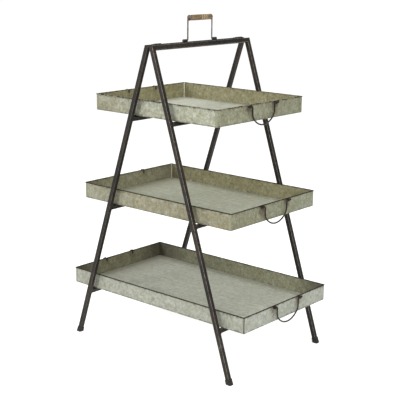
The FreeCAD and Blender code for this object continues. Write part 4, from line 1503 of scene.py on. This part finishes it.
@dataclass
class FoldHinges:
    """The butt hinges and the handle's clips on the top bars, with their rivets.

    Attributes:
        station: The middle of a hinge from the stand's middle, along the bars.
        leaf: The thickness of a leaf.
        clip_station: The middle of a clip from the stand's middle, along the bars.
        clip: The thickness of a clip.
        rivet_x: The rivets from the fold axis, across the bar.
        rivet_sunk: How far a rivet head is sunk into what it holds.
        rivet_dome: How much of a rivet head's rise is rounded, in shares of it.
        rivet_crown: How far its crown is set in, in shares of its radius, and raised, in shares of its rise.
        leaf_step: The rivets of a leaf from its middle.
        clip_step: The rivets of a clip from its middle.
    """

    effects: SharedEffects
    station: float = 0.167
    leaf: float = 0.0012
    clip_station: float = 0.0602
    clip: float = 0.0016
    rivet_radius: float = 0.0019
    rivet_rise: float = 0.0009
    rivet_x: float = 0.0073
    rivet_sunk: float = 0.00005
    rivet_dome: float = 0.85
    rivet_crown: Pair = (0.22, 0.10)
    leaf_step: float = 0.0075
    clip_step: float = 0.0038

    def build_rivet(self) -> Piece:
        """Model one domed rivet head at the origin.

        Returns:
            The rivet head, its foot at z = 0.
        """
        rise, (inwards, upwards) = self.rivet_rise, self.rivet_crown
        Bench.clear()
        bpy.ops.mesh.primitive_cylinder_add(vertices=24, radius=self.rivet_radius, depth=rise,
                                            location=(0, 0, rise / 2))
        rivet = Bench.take("rivet_head")
        with Bench.editing(rivet, Pick.FACES, lambda face, spots: face.normal.z > FLAT):
            bpy.ops.mesh.bevel(offset=rise * self.rivet_dome, segments=4, affect="EDGES")
        with Bench.editing(rivet, Pick.FACES, lambda face, spots: face.normal.z > FLAT and len(spots) > 4):
            bpy.ops.mesh.inset(thickness=self.rivet_radius * inwards)
            bpy.ops.transform.translate(value=(0, 0, rise * upwards))
        Bench.smooth(rivet, angle=50)
        return rivet

    def build(self) -> dict[Piece, str]:
        """Put two rivets on every leaf and every clip.

        Returns:
            Each rivet and the body it rides on.
        """
        pairs = [(side, f"{side.word}_hinge_rivet_{place.word}", place.value * side.value * self.station,
                  self.leaf_step, self.leaf) for side in Side for place in Place]
        pairs += [(Side.RIGHT, f"handle_clip_rivet_{place.word}", place.value * self.clip_station,
                   self.clip_step, self.clip) for place in Place]
        places, bodies = {}, []
        for side, name, station, step, plate in pairs:
            level = BAR_TOP + plate - self.rivet_sunk
            for number, way in enumerate((-step, step), start=1):
                spot = Matrix.Translation((self.rivet_x, station + way, level))
                places[f"{name}_{number}"] = lean_place(side) @ spot
                bodies.append(f"{side.word}_frame")
        return dict(zip(Bench.spread(self.build_rivet(), places), bodies))

    def dress(self, rivets: dict[Piece, str]) -> None:
        """Finish the leaves, pins, clips and rivets.

        Args:
            rivets: Each rivet and the body it rides on.
        """
        plate = SteelFinish("hinge_steel", dark=tint(0.036, 0.033, 0.030), scale=90.0, bare_cover=0.38,
                            rust_cover=0.32).material(self.effects)
        rubbed = SteelFinish("rivet_steel", dark=tint(0.05, 0.046, 0.042), scale=210.0, bare_cover=0.55,
                             rust_cover=0.30, roughness=0.38, metallic=0.5).material(self.effects)
        for place in Place:
            cover_node(f"hinge_pin_{place.word}", rubbed)
            cover_node(f"handle_clip_{place.word}", plate)
            for side in Side:
                cover_node(f"{side.word}_hinge_leaf_{place.word}", plate)
        for rivet, body in rivets.items():
            Bench.dress(rivet, rubbed)
            Bench.finish(rivet, body, "fittings")


@dataclass
class CarryingHandle:
    """The bent wire handle and its turned grip.

    Attributes:
        bore: The radius of the grip's bore.
        profile: The distance from the grip's end and the radius, up to its middle: a rounded end, a
            shallow groove, a long swell and a narrow groove near the middle.
        wear: The unevenness of the grip.
    """

    effects: SharedEffects
    bore: float = 0.0024
    profile: tuple[Pair, ...] = (
        (0.0000, 0.0034), (0.0003, 0.0056), (0.0010, 0.0068), (0.0020, 0.00765), (0.0028, 0.00780),
        (0.0036, 0.00772), (0.0046, 0.00735), (0.0053, 0.00715), (0.0066, 0.00718), (0.0110, 0.00738),
        (0.0180, 0.00757), (0.0260, 0.00770), (0.0340, 0.00776), (0.0372, 0.00776), (0.0380, 0.00745),
        (0.0388, 0.00745), (0.0396, 0.00776), (0.0460, 0.00778))
    wear: Dents = Dents(0.011, 0.00025, 1.0)

    def __post_init__(self) -> None:
        """Read the grip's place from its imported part."""
        low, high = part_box("handle_grip")
        self.middle = (low + high) / 2
        self.half_length = (high.y - low.y) / 2

    def build(self) -> Piece:
        """Turn the grip from a ring that is drawn out along the lathe's axis.

        Returns:
            The grip, in place on the wire.
        """
        Bench.clear()
        bpy.ops.mesh.primitive_circle_add(vertices=48, radius=self.bore)
        grip = Bench.take("turned_grip")
        whole = 2 * self.half_length
        far_half = [(whole - place, radius) for place, radius in reversed(self.profile[:-1])]
        level, radius = 0.0, self.bore
        with Bench.editing(grip, Pick.POINTS):
            for place, wanted in [*self.profile, *far_half, (whole, self.bore)]:
                bpy.ops.mesh.extrude_region_move(TRANSFORM_OT_translate={"value": (0, 0, place - level)})
                share = wanted / radius
                bpy.ops.transform.resize(value=(share, share, 1), center_override=(0, 0, place))
                level, radius = place, wanted
            bpy.ops.mesh.select_all(action="SELECT")
            bpy.ops.transform.translate(value=(0, 0, -self.half_length))
        self.line_bore(grip)
        turn = Matrix.Rotation(math.pi / 2, 4, "X")
        grip.data.transform(Matrix.Translation(self.middle) @ turn)
        Bench.uneven(grip, self.wear)
        Bench.smooth(grip, angle=40)
        return grip

    def line_bore(self, grip: Piece) -> None:
        """Join the two open ends of the grip through its bore.

        Args:
            grip: The grip, still along Z.
        """
        def at_bore(edge: bpy.types.MeshEdge, spots: list[Vector]) -> bool:
            """Whether an edge lies at the mouth of the bore."""
            return all(abs(abs(spot.z) - self.half_length) < TOUCH and spot.xy.length < self.bore + TOUCH
                       for spot in spots)

        with Bench.editing(grip, Pick.EDGES, at_bore):
            bpy.ops.mesh.bridge_edge_loops()
            bpy.ops.mesh.select_all(action="SELECT")
            bpy.ops.mesh.normals_make_consistent(inside=False)

    def dress(self, grip: Piece) -> None:
        """Finish the wire and the grip.

        Args:
            grip: The turned grip.
        """
        wire = SteelFinish("handle_wire_steel", tint(0.145, 0.137, 0.126), tint(0.115, 0.100, 0.085),
                           tint(0.30, 0.29, 0.275), tint(0.10, 0.065, 0.04), bare_cover=0.45,
                           rust_cover=0.33, scale=95.0, roughness=0.38, metallic=0.6)
        cover_node("handle_wire", wire.material(self.effects))
        Bench.dress(grip, WoodFinish("grip_wood", self.half_length).material(self.effects))
        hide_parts("handle_grip")
        Bench.finish(grip, "grip", "grip_wood")


@dataclass
class SheetTray:
    """An open tray folded from zinc sheet, with its rim, lapped corners, eyes and bails.

    Attributes:
        sheet: The thickness of the sheet.
        rim_height: The height of the rolled rim.
        rim_proud: How far the rim stands out from the walls.
        rim_hem: How much thicker the rim is inwards than the sheet.
        rim_round: How far the rim's outer edges are rounded.
        fold: The radius of the folds.
        tab_width: The width of a corner tab.
        tab_proud: How far it stands out from the wall.
        tab_round: How far its edges are rounded.
        eye_station: The holes for the eyes from the middle of an end wall.
        eye_level: Those holes over the seat.
        hole: The radius of a hole.
        drill_length: The length of the drill.
        solder: The radius of the solder in a corner.
        solder_inset: Its middle from the inner faces of the walls and from the top of the rim.
        pitch: The longest face of the dented sheet, and its first cut from a wall.
        levels: Where the walls are cut for their dents, over the seat.
        rim_pitch: The same as pitch, for the rim.
        tab_pitch: The longest face of a tab.
        tab_ends: Where its cuts start over the seat, and stop under the rim's top.
        solder_pitch: The longest face of the solder.
        still_foot: The height up to which a wall keeps its line.
        still_eye: How far from an eye a wall keeps its line.
        free_foot: From which height to which a wall gets free to be dented.
        free_rim: The same down from the rim.
        free_corner: The same for the distance from a corner.
        free_floor: The same for the floor, by its distance from a wall.
    """

    level: Level
    effects: SharedEffects
    sheet: float = 0.0008
    rim_height: float = 0.003
    rim_proud: float = 0.0011
    rim_hem: float = 0.00015
    rim_round: float = 0.0009
    fold: float = 0.0016
    tab_width: float = 0.006
    tab_proud: float = 0.0006
    tab_round: float = 0.00028
    eye_station: float = 0.055
    eye_level: float = 0.0408
    hole: float = 0.0018
    drill_length: float = 0.006
    solder: float = 0.0016
    solder_inset: float = 0.0012
    pitch: Pair = (0.021, 0.004)
    levels: tuple[float, ...] = (0.006, 0.014, 0.023, 0.032, 0.039)
    rim_pitch: Pair = (0.009, 0.003)
    tab_pitch: float = 0.004
    tab_ends: Pair = (0.002, 0.004)
    solder_pitch: float = 0.0022
    still_foot: float = 0.003
    still_eye: float = 0.022
    free_foot: Pair = (0.0, 0.02)
    free_rim: Pair = (0.042, 0.030)
    free_corner: Pair = (0.0, 0.05)
    free_floor: Pair = (0.0, 0.06)
    wall_dents: Dents = Dents(0.075, 0.0009)
    floor_dents: Dents = Dents(0.11, 0.0012, 1.0)
    rim_dents: Dents = Dents(0.010, 0.00045, 1.0)
    tab_dents: Dents = Dents(0.013, 0.0003, 1.0)
    solder_lumps: Dents = Dents(0.0035, 0.0009, 0.75)

    def __post_init__(self) -> None:
        """Read the tray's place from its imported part."""
        self.low, self.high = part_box(f"{self.level.word}_tray_pan")
        self.wall_x = self.high.x - self.rim_proud
        self.wall_y = self.high.y - self.rim_proud

    def cut_across(self, piece: Piece, pitch: Pair) -> None:
        """Cut a piece across X and Y.

        Args:
            piece: The piece.
            pitch: The longest face, and the first cut from a wall.
        """
        longest, first = pitch
        for axis, reach in ((Axis.X, self.wall_x - first), (Axis.Y, self.wall_y - first)):
            Bench.slice(piece, axis, Bench.steps(-reach, reach, longest))

    def fold_sheet(self) -> Piece:
        """Fold the floor and walls from one sheet.

        Returns:
            The folded sheet with its thickness.
        """
        seat, top = self.low.z, self.high.z - self.rim_height / 2
        pan = Bench.box("folded_sheet", (-self.wall_x, -self.wall_y, seat), (self.wall_x, self.wall_y, top))
        with Bench.editing(pan, Pick.FACES, lambda face, spots: face.normal.z > FLAT):
            bpy.ops.mesh.delete(type="FACE")
        with Bench.editing(pan, Pick.EDGES, lambda edge, spots: min(spot.z for spot in spots) < top - TOUCH):
            bpy.ops.mesh.bevel(offset=self.fold, segments=4, affect="EDGES")
        self.cut_across(pan, self.pitch)
        Bench.slice(pan, Axis.Z, [seat + level for level in self.levels])
        Bench.uneven(pan, self.wall_dents, self.wall_share)
        Bench.uneven(pan, self.floor_dents, self.floor_share)
        Bench.thicken(pan, self.sheet)
        return pan

    def wall_share(self, spot: Vector) -> float:
        """How freely a point of a wall may stand out of line.

        Args:
            spot: The point.

        Returns:
            0 at the floor, the rim, the corners and the eyes, and up to 1 between them.
        """
        height = spot.z - self.low.z
        near_x = self.wall_x - abs(spot.x)
        near_y = self.wall_y - abs(spot.y)
        at_eye = near_x < near_y and abs(abs(spot.y) - self.eye_station) < self.still_eye
        if height < self.still_foot or at_eye:
            return 0.0
        return (ramp(height, *self.free_foot) * ramp(height, *self.free_rim)
                * ramp(max(near_x, near_y), *self.free_corner))

    def floor_share(self, spot: Vector) -> float:
        """How freely a point of the floor may stand out of line.

        Args:
            spot: The point.

        Returns:
            0 above the floor and at its edges, and up to 1 in its middle.
        """
        if spot.z - self.low.z > self.sheet / 2:
            return 0.0
        return ramp(min(self.wall_x - abs(spot.x), self.wall_y - abs(spot.y)), *self.free_floor)

    def drill_holes(self, pan: Piece) -> None:
        """Drill the four holes for the split pins.

        Args:
            pan: The folded sheet.
        """
        Bench.clear()
        bpy.ops.mesh.primitive_cylinder_add(vertices=20, radius=self.hole, depth=self.drill_length,
                                            rotation=(0, math.pi / 2, 0))
        drill = Bench.take("drill")
        level = self.low.z + self.eye_level
        places = {}
        for side in Side:
            for place in Place:
                spot = (side.value * self.wall_x, place.value * self.eye_station, level)
                places[f"drill_{side.word}_{place.word}"] = Matrix.Translation(spot)
        cutter = Bench.join("drills", Bench.spread(drill, places))
        Bench.modify(pan, "BOOLEAN", operation="DIFFERENCE", object=cutter, solver="EXACT")
        bpy.data.objects.remove(cutter)

    def roll_rim(self) -> Piece:
        """Roll the hem that stiffens the top edge.

        Returns:
            The hem, a closed ring with rounded outer edges.
        """
        top = self.high.z
        foot = top - self.rim_height
        rim = Bench.box("rolled_rim", (self.low.x, self.low.y, foot), (self.high.x, self.high.y, top))
        with Bench.editing(rim, Pick.FACES, lambda face, spots: abs(face.normal.z) > FLAT):
            bpy.ops.mesh.delete(type="FACE")
        with Bench.editing(rim, Pick.EDGES, lambda edge, spots: abs(spots[0].z - spots[1].z) > TOUCH):
            bpy.ops.mesh.bevel(offset=self.fold, segments=4, affect="EDGES")
        self.cut_across(rim, self.rim_pitch)
        thickness = self.rim_proud + self.sheet + self.rim_hem
        Bench.thicken(rim, thickness)

        def outer_edge(edge: bpy.types.MeshEdge, spots: list[Vector]) -> bool:
            """Whether an edge runs along the outside of the hem at its top or foot."""
            level = any(all(abs(spot.z - height) < TOUCH for spot in spots) for height in (top, foot))
            proud = [max(abs(spot.x) - self.wall_x, abs(spot.y) - self.wall_y) for spot in spots]
            return level and min(proud) > self.rim_proud / 4 and abs(proud[0] - proud[1]) < thickness / 2

        with Bench.editing(rim, Pick.EDGES, outer_edge):
            bpy.ops.mesh.bevel(offset=self.rim_round, segments=3, affect="EDGES")
        Bench.uneven(rim, self.rim_dents)
        return rim

    def lap_corners(self) -> list[Piece]:
        """Lap a tab round each corner onto the long walls.

        Returns:
            The four tabs.
        """
        edge, seat = self.wall_x - self.fold, self.low.z
        low = (edge - self.tab_width, self.wall_y - self.sheet / 2, seat + self.fold)
        high = (edge, self.wall_y + self.tab_proud, self.high.z - self.rim_height - SLACK)
        tab = Bench.box("corner_tab", low, high)
        with Bench.editing(tab, Pick.EDGES, lambda edge, spots: min(spot.y for spot in spots) > self.wall_y):
            bpy.ops.mesh.bevel(offset=self.tab_round, segments=2, affect="EDGES")
        first, last = self.tab_ends
        Bench.slice(tab, Axis.Z, Bench.steps(seat + first, self.high.z - last, self.tab_pitch))
        Bench.uneven(tab, self.tab_dents)
        return Bench.mirror_corners(tab)

    def run_solder(self) -> list[Piece]:
        """Run a thin bead of solder up each inner corner.

        Returns:
            The four beads.
        """
        seat, top = self.low.z + self.sheet, self.high.z - self.solder_inset
        inwards = self.sheet + self.solder_inset
        corner = (self.wall_x - inwards, self.wall_y - inwards, (seat + top) / 2)
        Bench.clear()
        bpy.ops.mesh.primitive_cylinder_add(vertices=14, radius=self.solder, depth=top - seat,
                                            location=corner)
        bead = Bench.take("corner_solder")
        Bench.slice(bead, Axis.Z, Bench.steps(seat, top, self.solder_pitch))
        Bench.uneven(bead, self.solder_lumps)
        return Bench.mirror_corners(bead)

    def build(self) -> Piece:
        """Model the whole tray.

        Returns:
            The tray as one piece, with a material slot for each finish.
        """
        pan = self.fold_sheet()
        self.drill_holes(pan)
        rim = self.roll_rim()
        tabs = self.lap_corners()
        beads = self.run_solder()
        Bench.dress(pan, *self.sheet_materials())
        self.sort_faces(pan)
        rim_worn, tab_worn, solder = self.trim_materials()
        for pieces, material in (([rim], rim_worn), (tabs, tab_worn), (beads, solder)):
            for piece in pieces:
                Bench.dress(piece, material)
        tray = Bench.join(f"{self.level.word}_tray_sheet", [pan, rim, *tabs, *beads])
        Bench.smooth(tray, angle=35)
        return tray

    def sort_faces(self, pan: Piece) -> None:
        """Give every face of the folded sheet the slot of its side.

        Args:
            pan: The folded sheet.
        """
        corner = self.fold + SLACK
        for face in pan.data.polygons:
            spot, normal = face.center, face.normal
            level = abs(normal.z) > FLAT
            near_x = self.wall_x - abs(spot.x) < corner
            near_y = self.wall_y - abs(spot.y) < corner
            if level:
                slot = Slot.FLOOR if normal.z > 0 else Slot.UNDER
            elif near_x and near_y:
                slot = Slot.SEAM
            else:
                outward = normal.x * spot.x + normal.y * spot.y
                slot = Slot.OUTSIDE if outward > 0 else Slot.INSIDE
            face.material_index = slot.value

    def sheet_materials(self) -> list[Material]:
        """Make the finishes of the folded sheet.

        Returns:
            One material for each slot, in the order of the slots.
        """
        name, tones = self.level.word, TONES[self.level]
        outside = ZincFinish(f"{name}_zinc_outside", tones.base, tones.pale, tones.warm, drift=tones.drift,
                             fade=tones.fade, mottle=tones.mottle, end_tint=tones.end_tint,
                             end_warm=tones.end_warm, corner_line=tones.corner_line, stain=tones.stain)
        # The inside gets painted light that grows along X, and painted shade at its foot, under its rim and
        # in its corners.
        inside = ZincFinish(f"{name}_zinc_inside", *(scale_tint(tone, tones.inside) for tone in INSIDE_ZINC),
                            warm_cover=0.46, fade=(tones.inside_run, 0.0, 0.0), end_tint=tones.inside_end,
                            edge_shade=0.35, corner_shade=tones.inside_corner, stain=0.35)
        # The floor gets painted shade along its walls and at its left end.
        floor = ZincFinish(f"{name}_zinc_floor", *(scale_tint(tone, tones.floor) for tone in FLOOR_ZINC),
                           warm_cover=0.36, spangle=0.07, mottle=0.13, runs=0.02, rolled=0.09,
                           edge_shade=0.50, along_walls=True, end_soil=tones.floor_soil, roughness=0.66,
                           metallic=0.16)
        under = ZincFinish(f"{name}_zinc_under", tint(0.26, 0.26, 0.21), runs=0.04)
        seam = TrimFinish(f"{name}_seam", *tones.seam, cover=0.25)
        place = TrayPlace(self.low.z, self.wall_x, self.wall_y, self.eye_station, self.eye_level)
        zincs = [zinc.material(self.effects, place) for zinc in (outside, inside, floor, under)]
        return [*zincs, seam.material(self.effects)]

    def trim_materials(self) -> list[Material]:
        """Make the finishes of the rim, the tabs and the solder.

        Returns:
            The three materials.
        """
        name, tones = self.level.word, TONES[self.level]
        rim = TrimFinish(f"{name}_rim_worn", tint(0.017, 0.0138, 0.0085), tint(0.185, 0.175, 0.122),
                         scale=105.0, cover=tones.rim_gaps, roughness=0.65, metallic=0.0, mirror=0.2)
        tab = TrimFinish(f"{name}_tab", scale_tint(tones.base, (0.94, 0.94, 0.94)), tones.warm, scale=60.0,
                         cover=0.34, metallic=0.1, mirror=0.3)
        solder = TrimFinish(f"{name}_solder", *tones.solder, scale=150.0, cover=0.30)
        return [trim.material(self.effects) for trim in (rim, tab, solder)]

    def dress(self, tray: Piece) -> None:
        """Finish the tray, its eyes and its bails.

        Args:
            tray: The modelled tray.
        """
        name = self.level.word
        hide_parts(f"{name}_tray_pan")
        Bench.finish(tray, f"{name}_tray", "galvanised_sheet")
        eye = SteelFinish(f"{name}_eye_steel", tint(0.022, 0.018, 0.014), tint(0.040, 0.026, 0.017),
                          scale=150.0, rust_cover=0.36).material(self.effects)
        bail = SteelFinish(f"{name}_bail_steel", tint(0.019, 0.016, 0.012), tint(0.030, 0.021, 0.014),
                           tint(0.145, 0.136, 0.117), bare_cover=0.36, rust_cover=0.30, scale=70.0,
                           roughness=0.40, metallic=0.4).material(self.effects)
        for side in Side:
            cover_node(f"{name}_tray_bail_{side.word}", bail)
            for place in Place:
                cover_node(f"{name}_tray_eye_{side.word}_{place.word}", eye)


# Studio


@dataclass(frozen=True)
class Softbox:
    """A large soft lamp.

    Attributes:
        spot: Where it hangs.
        aim: The point that it faces.
        size: The side of its square.
        power: Its power in watts.
    """

    name: str
    spot: Triple
    aim: Triple
    size: float
    power: float

    def build(self) -> None:
        """Hang the lamp."""
        Bench.clear()
        bpy.ops.object.light_add(type="AREA", location=self.spot)
        lamp = bpy.context.object
        lamp.name = self.name
        lamp.data.shape = "SQUARE"
        lamp.data.size = self.size
        lamp.data.energy = self.power
        way = Vector(self.aim) - Vector(self.spot)
        lamp.rotation_euler = way.to_track_quat("-Z", "Y").to_euler()


@dataclass(frozen=True)
class Studio:
    """A pale floor, a pale room, soft lamps and the camera.

    Attributes:
        azimuth: The camera's way round the stand, from the near side.
        elevation: How far it looks down.
        roll: How far it is tipped.
        distance: The camera from its target.
        target: The point it looks at.
        focal_pixels: Its focal length, in pixels of the photograph.
        picture: The photograph's width, in pixels.
        sensor: The camera's sensor width, in millimetres.
        farthest: How far it sees.
        floor_size: The floor's width.
        world_strength: The light of the room.
        floor_white: The floor's own grey.
        floor_glow: The light that the floor gives off, so that it looks as white as the room.
    """

    azimuth: float = math.radians(40.584)
    elevation: float = math.radians(13.734)
    roll: float = math.radians(0.668)
    distance: float = 2.7782
    target: Triple = (0.0027, 0.0052, 0.405)
    focal_pixels: float = 994.3
    picture: float = 400.0
    sensor: float = 36.0
    farthest: float = 400.0
    floor_size: float = 160.0
    world_strength: float = 0.42
    floor_white: float = 0.50
    floor_glow: float = 0.80
    lamps: tuple[Softbox, ...] = (
        Softbox("key_softbox", (-1.5, -4.75, 2.2), (0, 0, 0.45), 1.5, 146.0),
        Softbox("fill_softbox", (4.2, -1.2, 1.9), (0, 0, 0.45), 2.0, 96.0),
        Softbox("top_softbox", (0.3, -0.5, 3.4), (0, 0, 0.4), 1.8, 60.0))

    def build(self) -> None:
        """Set up the floor, the room, the lamps and the camera."""
        self.lay_floor()
        self.light_room()
        for lamp in self.lamps:
            lamp.build()
        self.set_camera()

    def lay_floor(self) -> None:
        """Lay the pale floor."""
        Bench.clear()
        bpy.ops.mesh.primitive_plane_add(size=self.floor_size)
        floor = Bench.take("studio_floor")
        paint = Paint("studio_floor_white", scale_tint(WHITE, [self.floor_white] * 3))
        paint.shader.inputs["Emission Color"].default_value = WHITE
        paint.shader.inputs["Emission Strength"].default_value = self.floor_glow
        Bench.dress(floor, paint.close(rough=0.9))

    def light_room(self) -> None:
        """Fill the room with even pale light, and let it look as white as the floor."""
        scene = bpy.context.scene
        world = bpy.data.worlds.new("studio_room")
        world.use_nodes = True
        world.node_tree.nodes.clear()
        wiring = Wiring(world.node_tree)
        blend = wiring.add("ShaderNodeMixShader")
        wiring.feed(blend.inputs[0], wiring.add("ShaderNodeLightPath").outputs["Is Camera Ray"])
        for index, strength in ((1, self.world_strength), (2, 1.0)):
            light = wiring.wire("ShaderNodeBackground", 0, {"Color": WHITE, "Strength": strength})
            wiring.feed(blend.inputs[index], light)
        wiring.feed(wiring.add("ShaderNodeOutputWorld").inputs["Surface"], blend.outputs[0])
        scene.world = world
        scene.view_settings.view_transform = "Standard"
        scene.view_settings.look = "None"
        scene.view_settings.exposure = 0.0
        scene.view_settings.gamma = 1.0

    def set_camera(self) -> None:
        """Put the camera where the photograph was taken from."""
        side, lift = self.azimuth, self.elevation
        back = Vector((math.sin(side) * math.cos(lift), -math.cos(side) * math.cos(lift), math.sin(lift)))
        right = Vector((math.cos(side), math.sin(side), 0.0))
        up = back.cross(right)
        level_right = right * math.cos(self.roll) + up * math.sin(self.roll)
        level_up = up * math.cos(self.roll) - right * math.sin(self.roll)
        turn = Matrix((level_right, level_up, back)).transposed()
        Bench.clear()
        bpy.ops.object.camera_add(location=Vector(self.target) + back * self.distance,
                                  rotation=turn.to_euler())
        camera = bpy.context.object
        camera.name = "photo_camera"
        camera.data.sensor_width = self.sensor
        camera.data.lens = self.focal_pixels / self.picture * self.sensor
        camera.data.clip_end = self.farthest
        bpy.context.scene.camera = camera


def main() -> None:
    """Build every sub-assembly and the studio."""
    effects = SharedEffects()
    for side in Side:
        leaning = LeaningFrame(side, effects)
        leaning.dress(leaning.build())
    hinges = FoldHinges(effects)
    hinges.dress(hinges.build())
    handle = CarryingHandle(effects)
    handle.dress(handle.build())
    for level in Level:
        tray = SheetTray(level, effects)
        tray.dress(tray.build())
    Studio().build()


if __name__ == "__main__":
    main()
